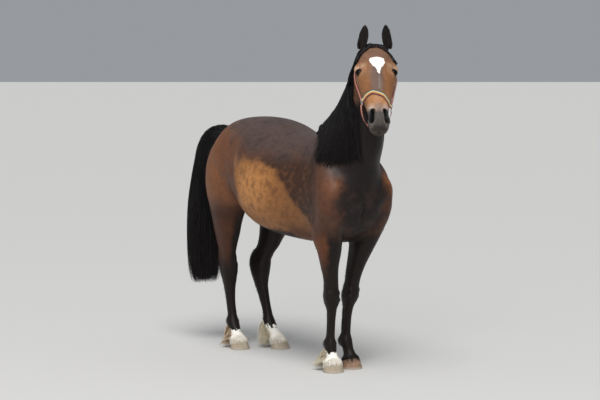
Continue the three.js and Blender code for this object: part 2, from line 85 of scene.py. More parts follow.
def place_along(rows, share):
    at = np.array([row[0] for row in rows], float)
    return np.interp(share * (len(at) - 1), np.arange(len(at)), at)


def rounded(angle, crown, keel):
    up, side = np.cos(angle), np.sin(angle)
    power = 2 / np.where(up >= 0, crown, keel)
    return np.sign(up) * np.abs(up) ** power, np.sign(side) * np.abs(side) ** power


def smooth(value, low, high):
    t = np.clip((value - low) / (high - low), 0, 1)
    return t * t * (3 - 2 * t)


def loft(bm, sides, rings, shape):
    """A ball whose rows become the sections of a limb. shape(share, angle, reach) gives points."""
    made = bmesh.ops.create_uvsphere(bm, u_segments=sides, v_segments=rings + 1, radius=1)["verts"]
    ball = np.array([v.co for v in made])
    row = np.arccos(np.clip(ball[:, 2], -1, 1)) / math.pi * (rings + 1)
    share = np.clip((np.round(row) - 1) / (rings - 1), 0, 1)
    reach = ((row > 0.5) & (row < rings + 0.5)).astype(float)
    for v, place in zip(made, shape(share, np.arctan2(ball[:, 0], ball[:, 1]), reach)):
        v.co = place
    return made


trunk_rows = [  # place, back line, belly line, half width, widest level, fullness above and below
    [-640, 965, 905, 30, 938, 2, 2], [-632, 1000, 868, 88, 936, 2, 2],
    [-610, 1045, 815, 146, 936, 2, 2], [-565, 1100, 758, 190, 940, 2, 2],
    [-500, 1190, 712, 211, 945, 1.9, 2], [-440, 1268, 690, 212, 950, 1.7, 2.1],
    [-380, 1320, 682, 208, 955, 1.55, 2.1], [-310, 1318, 678, 211, 955, 1.5, 2.1],
    [-240, 1278, 675, 224, 955, 1.55, 2.1], [-160, 1259, 674, 246, 955, 1.75, 2.1],
    [-60, 1261, 679, 270, 955, 2.05, 2.2], [40, 1286, 686, 284, 955, 2.2, 2.2],
    [150, 1318, 700, 286, 965, 2.3, 2.2], [260, 1334, 730, 272, 990, 2.35, 2.15],
    [360, 1338, 775, 248, 1030, 2.35, 2], [450, 1334, 815, 236, 1065, 2.3, 2],
    [540, 1322, 840, 230, 1075, 2.25, 2], [615, 1294, 860, 212, 1070, 2.1, 2],
    [672, 1250, 885, 178, 1062, 2, 2], [715, 1198, 920, 130, 1055, 2, 2],
    [742, 1130, 985, 62, 1054, 2, 2]]


def trunk_form(share, angle, reach):
    y = place_along(trunk_rows, share)
    top, bottom, half, level, crown, keel = stations(trunk_rows)(y)
    up, side = rounded(angle, crown, keel)
    height = np.where(up >= 0, top - level, level - bottom) - coat_depth
    end = np.where(share == 0, coat_depth, np.where(share == 1, -coat_depth, 0))
    return np.stack([side * (half - coat_depth) * reach, y + end, level + up * height * reach], 1)


neck_rows = [  # share, crest y and z, throat y and z, middle x, half width, turn, fullness
    [0, -190, 1256, -440, 850, 0, 142, 0, 1.6, 2.1], [.16, -320, 1318, -592, 985, 0, 146, 0, 1.6, 2.1],
    [.30, -416, 1390, -668, 1090, 0, 133, 0, 1.6, 2.1], [.45, -512, 1484, -712, 1205, -3, 114, 2, 1.65, 2.1],
    [.60, -598, 1588, -716, 1318, -8, 98, 6, 1.7, 2.1], [.75, -672, 1668, -706, 1412, -16, 84, 13, 1.8, 2.1],
    [.88, -737, 1720, -712, 1490, -26, 74, 21, 1.9, 2.1], [1, -798, 1738, -775, 1565, -45, 62, 30, 2, 2.1]]


def neck_form(share, angle, reach):
    crest_y, crest_z, throat_y, throat_z, x, half, turn, crown, keel = stations(neck_rows)(share)
    run, rise = crest_y - throat_y, crest_z - throat_z
    deep = np.hypot(run, rise)
    up, side = rounded(angle, crown, keel)
    up, side = up * (deep / 2 - coat_depth) * reach, side * (half - coat_depth) * reach
    yaw = np.radians(turn)
    return np.stack([x + side * np.cos(yaw), (crest_y + throat_y) / 2 + up * run / deep - side * np.sin(yaw),
                     (crest_z + throat_z) / 2 + up * rise / deep], 1)


fore_rows = [  # height, front y, back y, half width, middle x, fullness
    [1235, -415, -320, 26, 80, 2], [1150, -510, -345, 56, 122, 2], [1050, -586, -385, 74, 138, 2],
    [960, -624, -408, 80, 142, 2], [890, -622, -412, 80, 142, 2], [820, -600, -398, 79, 138, 2],
    [760, -572, -352, 73, 130, 2.1], [700, -546, -348, 65, 118, 2.1], [640, -516, -360, 56, 104, 2.1],
    [560, -476, -362, 46, 90, 2.1], [480, -452, -364, 39, 79, 2.2], [445, -446, -358, 39, 77, 2.4],
    [405, -447, -352, 43, 75, 2.5], [368, -441, -356, 39, 73, 2.4], [335, -430, -364, 28, 71, 2.2],
    [250, -424, -366, 22.5, 68, 2.2], [190, -424, -365, 23, 67, 2.2], [155, -433, -353, 31, 67, 2.1],
    [132, -437, -353, 33, 67, 2.1], [102, -445, -378, 28, 67, 2.1], [78, -458, -388, 32, 67, 2.1],
    [60, -468, -384, 46, 67, 2.1], [0, -492, -380, 57, 67, 2.1]]
hind_rows = [
    [1230, 430, 670, 60, 95, 2], [1130, 410, 730, 90, 118, 2], [1050, 398, 748, 100, 130, 2],
    [960, 386, 742, 106, 136, 2], [890, 384, 722, 104, 139, 2], [840, 392, 702, 96, 141, 2],
    [780, 424, 686, 84, 140, 2], [720, 458, 678, 73, 135, 2], [650, 492, 678, 60, 126, 2.1],
    [590, 520, 685, 49, 117, 2.1], [548, 538, 694, 42, 110, 2.2], [508, 546, 699, 43, 105, 2.3],
    [468, 548, 697, 46, 101, 2.3], [430, 555, 688, 45, 98, 2.2], [390, 567, 674, 40, 95, 2.2],
    [345, 577, 662, 33, 93, 2.2], [260, 578, 642, 27, 91, 2.2], [190, 568, 630, 27, 89, 2.1],
    [155, 554, 636, 34, 88, 2.1], [130, 541, 632, 35, 88, 2.1], [100, 520, 600, 31, 88, 2.1],
    [78, 498, 580, 34, 88, 2.1], [60, 482, 572, 46, 88, 2.1], [0, 448, 556, 56, 88, 2.1]]
limbs = {  # side, rows, toe out, height above which it doesn't turn, how far back the limb steps
    "fore_right": (-1, fore_rows, 8, 720, [[0, -4], [150, -6], [400, -26], [600, -10], [900, 0], [1300, 0]]),
    "fore_left": (1, fore_rows, 14, 720, [[0, 39], [150, 46], [290, 38], [410, 18], [900, 0], [1300, 0]]),
    "hind_right": (-1, hind_rows, 5, 860, [[0, -10], [150, -4], [500, 0], [900, 0], [1300, 0]]),
    "hind_left": (1, hind_rows, 13, 860,
                  [[0, -122], [150, -114], [490, -38], [590, -82], [700, -80], [900, -30], [1300, 0]])}


def limb_turn(limb, z):
    side, rows, toe_out, turn_top, steps = limb
    front, back, _, x, _ = stations(rows[::-1])(150)
    turn = np.radians(toe_out) * smooth(turn_top - z, 0, turn_top - 420)
    return np.cos(turn), np.sin(turn), x, (front + back) / 2, stations(steps)(z)[0]


def stand(limb, p):
    """From a limb's own straight shape to where it stands."""
    cos, sin, x, y, step = limb_turn(limb, p[:, 2])
    a, b = p[:, 0] - x, p[:, 1] - y
    return np.stack([(x + a * cos - b * sin) * limb[0], y + a * sin + b * cos + step, p[:, 2]], 1)


def unstand(limb, p):
    """From where a limb stands back to its own straight shape, outwards as +X."""
    cos, sin, x, y, step = limb_turn(limb, p[:, 2])
    a, b = p[:, 0] * limb[0] - x, p[:, 1] - step - y
    return np.stack([x + a * cos + b * sin, y - a * sin + b * cos, p[:, 2]], 1)


def limb_form(limb, grow=-coat_depth):
    rising = limb[1][::-1]

    def form(share, angle, reach):
        z = place_along(rising, share)
        front, back, half, x, fullness = stations(rising)(z)
        fore, out = rounded(angle, fullness, fullness)
        y = (front + back) / 2 - fore * ((back - front) / 2 + grow) * reach
        return stand(limb, np.stack([x + out * (half + grow) * reach, y, z], 1))
    return form


head_rows = [  # place down the face, face line, jaw line, half width, widest level, fullness
    [-28, -48, -118, 40, -84, 2, 2], [0, -14, -150, 64, -74, 2, 2], [42, 8, -192, 84, -62, 2.1, 1.9],
    [88, 19, -222, 96, -50, 2.2, 1.8], [135, 22, -236, 103, -42, 2.2, 1.7], [178, 20, -234, 103, -42, 2.2, 1.7],
    [220, 12, -212, 95, -52, 2.2, 1.7], [272, 4, -172, 82, -58, 2.2, 1.8], [324, -3, -138, 71, -60, 2.1, 2],
    [378, -5, -116, 57, -56, 2.1, 2.2], [422, -4, -106, 52, -52, 2.2, 2.3], [460, -5, -110, 55, -54, 2.3, 2.3],
    [490, -16, -110, 47, -60, 2.2, 2.2], [507, -32, -100, 33, -66, 2.1, 2.1], [515, -48, -88, 17, -68, 2, 2]]
pitch = math.radians(38)
# the head's own frame: origin at the poll, +Y down the face, +Z out of it, +X to the pony's right
head_frame = (Matrix.Translation((-53, -790, 1742)) @ Matrix.Rotation(math.radians(-30), 4, "Z")
              @ Matrix(((-1, 0, 0, 0), (0, -math.sin(pitch), -math.cos(pitch), 0),
                        (0, -math.cos(pitch), math.sin(pitch), 0), (0, 0, 0, 1))))


def carry(matrix, p):
    m = np.array(matrix)
    return np.atleast_2d(p) @ m[:3, :3].T + m[:3, 3]


def head_form(share, angle, reach):
    y = place_along(head_rows, share)
    face, jaw, half, level, crown, keel = stations(head_rows)(y)
    up, side = rounded(angle, crown, keel)
    height = np.where(up >= 0, face - level, level - jaw) - coat_depth
    end = np.where(share == 0, coat_depth, np.where(share == 1, -coat_depth, 0))
    return carry(head_frame, np.stack([side * (half - coat_depth) * reach, y + end, level + up * height * reach], 1))


ear_length = 140
ear_rows = [  # share, half width, half thickness, forward lean, wall, how far round the wall reaches
    [0, 19, 16, 0, 7, 175], [.12, 24, 17, 0, 6, 170], [.22, 27, 17, 1, 5.4, 150], [.4, 29, 15.5, 2, 5.2, 128],
    [.62, 30.5, 12, 5, 5.2, 118], [.8, 25, 9.5, 9, 5.2, 112], [.93, 15, 7.0, 13, 5.0, 106], [1, 5.5, 4.4, 16, 3.2, 100]]


def ear_frame(side):
    return (head_frame @ Matrix.Translation((side * 73, 16, -36))
            @ Matrix.Rotation(math.pi / 2 - pitch - math.radians(10), 4, "X")
            @ Matrix.Rotation(math.radians(-12 * side), 4, "Y") @ Matrix.Rotation(math.radians(-20 * side), 4, "Z"))


def ear_form(side):
    def form(share, angle, reach):
        half, deep, lean, wall, round_to = stations(ear_rows)(share)
        # a section is a crescent: out along the back of the wall, then home along its inside
        turn = angle / math.pi
        outside = np.abs(turn) < 0.5
        along = np.where(outside, turn * 2, np.sign(turn) * (1 - np.abs(turn)) * 2)
        about = np.radians(round_to) * along * (0.2 + 0.8 * reach)
        inner = np.where(outside, 0, wall) * reach + (1 - reach) * wall / 2
        x = np.sin(about) * np.maximum(half - coat_depth - inner, 0.4)
        y = -np.cos(about) * np.maximum(deep - coat_depth - inner, 0.4) + lean
        return carry(ear_frame(side), np.stack([x, y, share * (ear_length - 3) + 1], 1))
    return form


bm = bmesh.new()
loft(bm, 72, 100, trunk_form)
loft(bm, 64, 70, neck_form)
for limb in limbs.values():
    loft(bm, 40, 110, limb_form(limb))
loft(bm, 72, 90, head_form)
lumps = [((0, 162, -138), (78, 90, 90)), ((0, 476, -106), (27, 22, 16))]  # cheeks and chin
lumps += [((side * 86, 144, -22), (31, 34, 27)) for side in (-1, 1)]      # brows
lumps += [((side * 34, 464, -40), (22, 25, 28)) for side in (-1, 1)]      # nostrils
for centre, reach in lumps:
    ball = bmesh.ops.create_uvsphere(bm, u_segments=40, v_segments=28, radius=1)["verts"]
    place = head_frame @ Matrix.Translation(centre) @ Matrix.Diagonal((*[r - coat_depth for r in reach], 1))
    bmesh.ops.transform(bm, matrix=place, verts=ball)
ball = bmesh.ops.create_uvsphere(bm, u_segments=48, v_segments=32, radius=1)["verts"]  # breast under the neck
bmesh.ops.transform(bm, matrix=Matrix.Translation((0, -552, 1062)) @ Matrix.Diagonal((132, 106, 150, 1)), verts=ball)
for side in (-1, 1):
    loft(bm, 56, 60, ear_form(side))
form_mesh = bpy.data.meshes.new("pony_skin")
bm.to_mesh(form_mesh)
bm.free()
skin = bpy.data.objects.new("pony_skin", form_mesh)
bpy.context.scene.collection.objects.link(skin)


def fixed_mesh(piece):
    """The piece's mesh with its modifiers made real."""
    bpy.context.view_layer.update()
    mesh = bpy.data.meshes.new_from_object(piece.evaluated_get(bpy.context.evaluated_depsgraph_get()))
    piece.modifiers.clear()
    old, piece.data = piece.data, mesh
    bpy.data.meshes.remove(old)
    return mesh


fuse = skin.modifiers.new("fuse", "REMESH")
fuse.mode, fuse.voxel_size, fuse.use_smooth_shade = "VOXEL", 3.2, True
mesh = fixed_mesh(skin)


def read(mesh, what="co"):
    values = np.empty(len(mesh.vertices) * 3, np.float32)
    (mesh.vertices if what == "co" else mesh.vertex_normals).foreach_get(
        "co" if what == "co" else "vector", values)
    return values.reshape(-1, 3).astype(float)


def write(mesh, p):
    mesh.vertices.foreach_set("co", p.astype(np.float32).ravel())
    mesh.update()


def neighbours(mesh):
    edge = np.empty(len(mesh.edges) * 2, np.int32)
    mesh.edges.foreach_get("vertices", edge)
    a, b = edge.reshape(-1, 2).T
    start, end = np.concatenate([a, b]), np.concatenate([b, a])
    count = np.maximum(np.bincount(start, minlength=len(mesh.vertices)), 1)

    def mean(value):
        value = value.reshape(len(count), -1)
        return np.stack([np.bincount(start, value[end, i], len(count)) / count
                         for i in range(value.shape[1])], 1)
    return mean


# the creases where limb, neck and head meet the trunk are filled, as muscle fills them
mean = neighbours(mesh)
p = read(mesh)
normal = read(mesh, "normal")
h = carry(head_frame.inverted(), p)
on_head = smooth(h[:, 1], -60, 20) * smooth(-np.abs(h[:, 0]), -150, -125) * smooth(h[:, 2], -262, -236)
on_ear = on_head * smooth(h[:, 2] - 0.25 * h[:, 1], 8, 20) * smooth(-h[:, 1], -45, -20)
crease = np.clip(((mean(p) - p) * normal).sum(1) / 0.6, 0, 1)[:, None] * (1 - 0.55 * on_head[:, None])
for _ in range(36):
    crease = np.maximum(crease * 0.985, mean(crease))
breast = np.exp(-(((p - (0, -640, 1075)) / (200, 120, 120)) ** 2).sum(1))[:, None]
crease = np.clip(np.maximum(crease * 2.2, breast * 1.6), 0, 1)
for turn in range(110):
    p += (mean(p) - p) * np.maximum(crease, 0.5 if turn < 6 else 0) * 0.9
write(mesh, p)


def mound(push, p, centre, reach, rise):
    q = (p - np.array(centre, float)) / np.array(reach, float)
    near = (np.abs(q) < 2.5).all(1)
    push[near] += rise * np.exp(-(q[near] ** 2).sum(1))


def line_distance(p, path):
    path = np.array(path, float)
    best, share = np.full(len(p), 1e9), np.zeros(len(p))
    for i in range(len(path) - 1):
        way = path[i + 1] - path[i]
        t = np.clip(((p - path[i]) @ way) / (way @ way), 0, 1)
        d = np.linalg.norm(p - path[i] - t[:, None] * way, axis=1)
        share = np.where(d < best, (i + t) / (len(path) - 1), share)
        best = np.minimum(best, d)
    return best, share


def ridge(push, p, path, width, rise):
    """A ridge, or with a negative rise a groove, along a path, running out at its two ends."""
    low, high = np.min(path, 0) - 3 * width, np.max(path, 0) + 3 * width
    near = np.flatnonzero(((p > low) & (p < high)).all(1))
    if len(near):
        d, share = line_distance(p[near], path)
        push[near] += rise * np.exp(-(d / width) ** 2) * smooth(share, -0.02, 0.22) * smooth(-share, -1.02, -0.78)


def both(path):
    return [np.array(path, float) * (side, 1, 1) for side in (-1, 1)]


normal = read(mesh, "normal")
push = np.zeros(len(p))
off_head = 1 - on_head
# trunk: the breast, shoulder, girth, ribs, flank, hip, thigh and buttock
ridge(push, p, [(0, -655, 1040), (0, -648, 900), (0, -600, 790)], 17, -13)
for path in both([(58, -328, 1322), (110, -440, 1180), (148, -560, 1010)]):
    ridge(push, p, path, 30, 7)
for path in both([(120, -300, 1250), (165, -330, 1150), (196, -372, 1040)]):
    ridge(push, p, path, 24, -5)
for path in both([(196, -395, 1130), (206, -425, 1050), (209, -455, 975), (205, -468, 900), (192, -462, 830), (176, -430, 775)]):
    ridge(push, p, path, 22, -6)
for path in both([(186, -560, 1060), (198, -545, 980), (194, -520, 900)]):
    ridge(push, p, path, 16, -4)
for path in both([(88, -640, 905), (140, -612, 850), (176, -560, 815)]):
    ridge(push, p, path, 17, -8)
for path in both([(62, -650, 1060), (80, -655, 1000), (98, -648, 940)]):
    ridge(push, p, path, 20, 4)
for path in both([(252, 285, 1100), (262, 250, 1030), (262, 228, 965), (250, 218, 900), (222, 238, 842)]):
    ridge(push, p, path, 16, 6)
for path in both([(262, 200, 1040), (268, 178, 960), (252, 165, 885)]):
    ridge(push, p, path, 24, -6)
for path in both([(240, 330, 1090), (246, 300, 1010), (238, 282, 930), (222, 286, 860)]):
    ridge(push, p, path, 30, -8)
for path in both([(150, 705, 1170), (188, 672, 1040), (192, 650, 920), (170, 640, 830)]):
    ridge(push, p, path, 16, -5)
for path in both([(228, 450, 1130), (232, 430, 1040), (226, 410, 960)]):
    ridge(push, p, path, 20, -4)
for side in (-1, 1):
    mound(push, p, (side * 205, -520, 985), (46, 62, 90), 6)
    mound(push, p, (side * 152, -595, 985), (46, 44, 52), 8)
    mound(push, p, (side * 80, -640, 915), (52, 50, 52), 9)
    mound(push, p, (side * 215, 352, 1222), (42, 44, 36), 9)
    mound(push, p, (side * 244, 318, 1120), (70, 72, 62), -7)
    mound(push, p, (side * 218, 448, 900), (60, 66, 70), 9)
    mound(push, p, (side * 205, 575, 1120), (70, 82, 92), 6)
    mound(push, p, (side * 74, 742, 1115), (46, 50, 54), 8)
    mound(push, p, (side * 78, 690, 1262), (36, 44, 30), -5)
    mound(push, p, (side * 44, -250, 1300), (26, 80, 30), -4)
    for rib in range(9):
        top = -190 + rib * 50
        ridge(push, p, [(side * 225, top, 1150), (side * 272, top + 26, 1010), (side * 262, top + 40, 880)], 9, 0.8)
# neck: windpipe, jugular grooves, and the muscle under the crest
for path in both([(66, -702, 1440), (74, -700, 1330), (86, -690, 1220), (92, -668, 1110), (84, -655, 1030)]):
    ridge(push, p, path, 15, -8)
ridge(push, p, [(-12, -722, 1430), (-6, -730, 1320), (0, -725, 1200), (0, -690, 1095)], 26, 6)
for path in both([(90, -600, 1500), (104, -540, 1400), (128, -470, 1290)]):
    ridge(push, p, path, 20, -4)
p += normal * (1.35 * push * off_head)[:, None]

for limb in limbs.values():
    near = np.flatnonzero((p[:, 0] * limb[0] > 2) & (p[:, 2] < 900)
                          & ((p[:, 1] < -150) if limb[1] is fore_rows else (p[:, 1] > 250)))
    q, grow = unstand(limb, p[near]), np.zeros(len(near))
    if limb[1] is fore_rows:
        mound(grow, q, (138, -440, 700), (40, 34, 88), 6)                   # forearm muscle, outer
        mound(grow, q, (70, -450, 690), (30, 40, 80), 5)
        ridge(grow, q, [(182, -400, 760), (158, -398, 660), (130, -396, 560), (112, -392, 490)], 11, -6)
        ridge(grow, q, [(150, -455, 700), (126, -440, 580), (106, -428, 490)], 9, -3)
        mound(grow, q, (176, -372, 790), (34, 30, 34), 8)                   # point of the elbow
        for out in (75 + 34, 75 - 34):
            mound(grow, q, (out, -432, 426), (10, 14, 12), 4)               # knee bones
            mound(grow, q, (out, -425, 386), (10, 16, 12), 3.5)
            ridge(grow, q, [(out, -440, 404), (out, -380, 404)], 6, -2.5)
            ridge(grow, q, [(69 + (out - 75) * .6, -384, 345), (68 + (out - 75) * .6, -386, 260),
                            (67 + (out - 75) * .6, -386, 185)], 6, -5)      # beside the tendons
            mound(grow, q, (67 + (out - 75) * .75, -362, 146), (12, 13, 15), 4)
            mound(grow, q, (67 + (out - 75) * .9, -400, 150), (10, 18, 12), 3)
        mound(grow, q, (80, -350, 418), (16, 14, 24), 8)                    # bone behind the knee
        mound(grow, q, (75, -452, 405), (26, 10, 30), 2)
        mound(grow, q, (67, -382, 108), (20, 12, 14), -5)
        mound(grow, q, (42, -402, 520), (6, 11, 24), 3)                     # chestnut
    else:
        for out in (1, -1):
            ridge(grow, q, [(117 + out * 34, 640, 660), (113 + out * 32, 654, 610), (109 + out * 30, 662, 560)],
                  12, -11)                                                  # in front of the hamstring
            mound(grow, q, (104 + out * 38, 585, 478), (12, 24, 22), 4)     # hock bones
            mound(grow, q, (104 + out * 36, 566, 520), (12, 18, 16), 3)
            ridge(grow, q, [(102 + out * 30, 640, 480), (98 + out * 26, 614, 420)], 9, -5)
            ridge(grow, q, [(93 + out * 22, 600, 370), (91 + out * 20, 598, 280), (89 + out * 20, 598, 190)], 6, -5)
            mound(grow, q, (88 + out * 26, 624, 148), (12, 13, 15), 4)
            mound(grow, q, (88 + out * 30, 590, 148), (10, 18, 12), 3)
        mound(grow, q, (108, 700, 538), (20, 14, 24), 7)                    # point of the hock
        mound(grow, q, (170, 520, 700), (30, 50, 70), 6)                    # gaskin
        mound(grow, q, (92, 540, 690), (30, 46, 70), 4)
        ridge(grow, q, [(186, 560, 760), (168, 572, 680), (150, 588, 610)], 12, -5)
        mound(grow, q, (104, 540, 512), (22, 12, 26), -3)
        mound(grow, q, (88, 600, 104), (20, 12, 14), -5)
        mound(grow, q, (68, 575, 440), (5, 10, 20), 2.5)                    # chestnut
    p[near] += 1.25 * normal[near] * grow[:, None]

# head: brow and cheek bones, the jaw's edge, hollows, nose, nostrils, lips and chin
h = carry(head_frame.inverted(), p)
push = np.zeros(len(p))
for path in both([(84, 208, -66), (78, 250, -66), (70, 296, -64)]):
    ridge(push, h, path, 8, 5)
for path in both([(52, 232, -22), (46, 300, -30), (42, 360, -30)]):
    ridge(push, h, path, 20, -4)
for path in both([(30, 215, 12), (28, 300, 0), (24, 370, -4)]):
    ridge(push, h, path, 10, 2)
for path in both([(66, 150, -216), (84, 198, -176), (84, 226, -128), (82, 222, -90)]):
    ridge(push, h, path, 10, 4)
for path in both([(60, 190, -210), (76, 236, -166), (78, 262, -118), (76, 268, -84)]):
    ridge(push, h, path, 13, -5)
for side in (-1, 1):
    mound(push, h, (side * 70, 108, 4), (20, 22, 16), -6)                    # hollow above the eye
    mound(push, h, (side * 84, 160, -110), (30, 60, 60), 5)
    mound(push, h, (side * 34, 492, -58), (20, 16, 20), 3)
mouth = [(48, 412, -86), (46, 446, -82), (38, 478, -74), (24, 500, -67), (0, 510, -63)]
mouth = np.array(mouth + [(-x, y, z) for x, y, z in mouth[-2::-1]], float)
ridge(push, h, mouth, 5, -8)
ridge(push, h, mouth + (0, 0, 12), 7, 2.5)
ridge(push, h, mouth - (0, 0, 12), 8, 3.5)
ridge(push, h, [(0, 455, -4), (0, 485, -16), (0, 500, -40), (0, 506, -66)], 7, -2)
ridge(push, h, [(0, 60, 22), (0, 120, 26), (0, 170, 24)], 26, 2)
mound(push, h, (0, 505, -108), (30, 18, 14), 3)
p += read(mesh, "normal") * (push * on_head)[:, None]
widest = np.abs(p[:, 0])
p[:, 0] = np.sign(p[:, 0]) * np.where(widest > 274, 274 + (widest - 274) * 0.55, widest)
write(mesh, p)

# the fine mesh is thinned to what each place needs: broad on the trunk, fine at eyes, nose and lips
h = carry(head_frame.inverted(), p)
eye_centre, eye_radius = np.array((85.0, 173.0, -21.0)), 20.5
eye_out = np.array((0.60, -0.02, 0.80)) / np.linalg.norm((0.60, -0.02, 0.80))
eye_long = np.array((0.10, 0.96, -0.26))
eye_long = eye_long - eye_out * (eye_long @ eye_out)
eye_long /= np.linalg.norm(eye_long)
eye_up = np.cross(eye_out, eye_long)


def on_eye(h, side):
    """Distance outside the lids' edge in mm, distance and direction from the eye's middle."""
    q = h * (side, 1, 1) - eye_centre
    far = np.linalg.norm(q, axis=1)
    way = q / np.maximum(far, 1e-6)[:, None]
    facing = way @ eye_out
    along = eye_radius * np.arctan2(way @ eye_long, facing)
    above = eye_radius * np.arctan2(way @ eye_up, facing)
    tall = np.where(above > 0, 15.5, 13.0) * (1 - 0.10 * along / 18)
    out = (np.abs(along / 20) ** 1.75 + np.abs(above / tall) ** 2) ** 0.5
    return np.where((facing > 0.1) & (far < 56), (out - 1) * 15, 60), far, way, along, above


nostril_paths = both([(33, 413, -12), (36, 432, -16), (38, 452, -20), (37, 469, -26)])


def nostril_distance(h):
    d = [line_distance(h, path) for path in nostril_paths]
    near = d[0][0] < d[1][0]
    return np.where(near, d[0][0], d[1][0]), np.where(near, d[0][1], d[1][1])


keep = np.full(len(p), 0.085)
for limb in limbs.values():
    keep[(p[:, 2] < 700) & (np.abs(p[:, 0]) > 2)] = 0.15
keep = np.maximum(keep, 0.20 * on_head)
keep = np.maximum(keep, 0.34 * on_ear)
for side in (-1, 1):
    keep[on_eye(h, side)[0] < 12] = 1
keep[nostril_distance(h)[0] < 24] = 0.5
keep[line_distance(h, mouth)[0] < 12] = 0.5
group = skin.vertex_groups.new(name="keep")
for level in np.unique(np.round(keep, 2)):
    group.add(np.flatnonzero(np.round(keep, 2) == level).tolist(), float(level), "REPLACE")
thin = skin.modifiers.new("thin", "DECIMATE")
thin.ratio, thin.vertex_group, thin.invert_vertex_group, thin.vertex_group_factor = 0.145, "keep", True, 200
mesh = fixed_mesh(skin)
skin.vertex_groups.clear()
mean, p = neighbours(mesh), read(mesh)
for _ in range(26):
    p += (mean(p) - p) * 0.6 * np.exp(-(((p - (0, -650, 1085)) / (190, 100, 110)) ** 2).sum(1))[:, None]
    behind_arm = np.exp(-(((np.abs(p) * (1, 0, 0) + p * (0, 1, 1) - (212, -458, 940)) / (50, 42, 170)) ** 2).sum(1))
    p += (mean(p) - p) * 0.6 * behind_arm[:, None]
write(mesh, p)

bm = bmesh.new()
bm.from_mesh(mesh)
for reach_eye, reach_nose in ((7, 16), (3.2, 0)):
    h = carry(head_frame.inverted(), np.array([v.co for v in bm.verts]))
    fine = np.minimum(on_eye(h, 1)[0], on_eye(h, -1)[0]) < reach_eye
    if reach_nose:
        fine |= nostril_distance(h)[0] < reach_nose
    bm.verts.ensure_lookup_table()
    chosen = {v for v, f in zip(bm.verts, fine) if f}
    edges = [e for e in bm.edges if e.verts[0] in chosen and e.verts[1] in chosen]
    bmesh.ops.subdivide_edges(bm, edges=edges, cuts=1, use_grid_fill=True)
    bmesh.ops.triangulate(bm, faces=[f for f in bm.faces if len(f.verts) > 3])
bm.to_mesh(mesh)
bm.free()

# lids lie over each eyeball; inside their edges the skin turns in behind it
mean = neighbours(mesh)
p = read(mesh)
h = carry(head_frame.inverted(), p)
for side in (-1, 1):
    edge, far, way, along, above = on_eye(h, side)
    near = (edge < 22) & (far < 60)
    lid = eye_radius + 2.6 + 0.6 * (above > 0) - 1.4 * np.exp(-((edge - 6.5) / 1.8) ** 2) \
        + 1.6 * np.exp(-((edge - 10.5) / 3) ** 2)
    wanted = np.where(edge < 0.6, eye_radius - 5 + 7.4 * smooth(edge, -1.2, 0.6), lid)
    wanted = wanted + (far - wanted) * smooth(edge, 5, 20)
    moved = eye_centre + way * wanted[:, None]
    h[near] = (moved * (side, 1, 1))[near]
d, share = nostril_distance(h)
push = -24 * smooth(-d, -15, -6)
push += 3.4 * np.exp(-((d - 18) / 4) ** 2)
p = carry(head_frame, h)
write(mesh, p)
p += read(mesh, "normal") * push[:, None]
write(mesh, p)
loop_corners = np.empty(len(mesh.loops), np.int32)
mesh.loops.foreach_get("vertex_index", loop_corners)
triangles = loop_corners.reshape(-1, 3)
skin_tree = BVHTree.FromPolygons(p.tolist(), triangles.tolist())


def to_pony(p):
    return np.asarray(p, float) / mm - (0, forward / mm, 0)


def to_frame(p):
    return (np.asarray(p, float) + (0, forward / mm, 0)) * mm


# a summer bay's colours by place: black points and neck, gold barrel, red haunch; a painted grey sheen on top, painted
# highlights and shade
def mottle(p, size, seed=0.0):
    return np.array([noise.noise(Vector(q) / size + Vector((seed, 3.1 * seed, 7.7))) for q in p])


def blend(colour, other, share):
    share = np.clip(share, 0, 1)[:, None]
    return colour * (1 - share) + np.array(other) * share


def spot(p, centre, reach, soft=0.5):
    """1 inside an oval on either side of the pony, fading over its rim."""
    q = (np.abs(p) * (1, 0, 0) + p * (0, 1, 1) - centre) / np.array(reach, float)
    return 1 - smooth(np.sqrt((q ** 2).sum(1)), 1 - soft, 1 + soft)


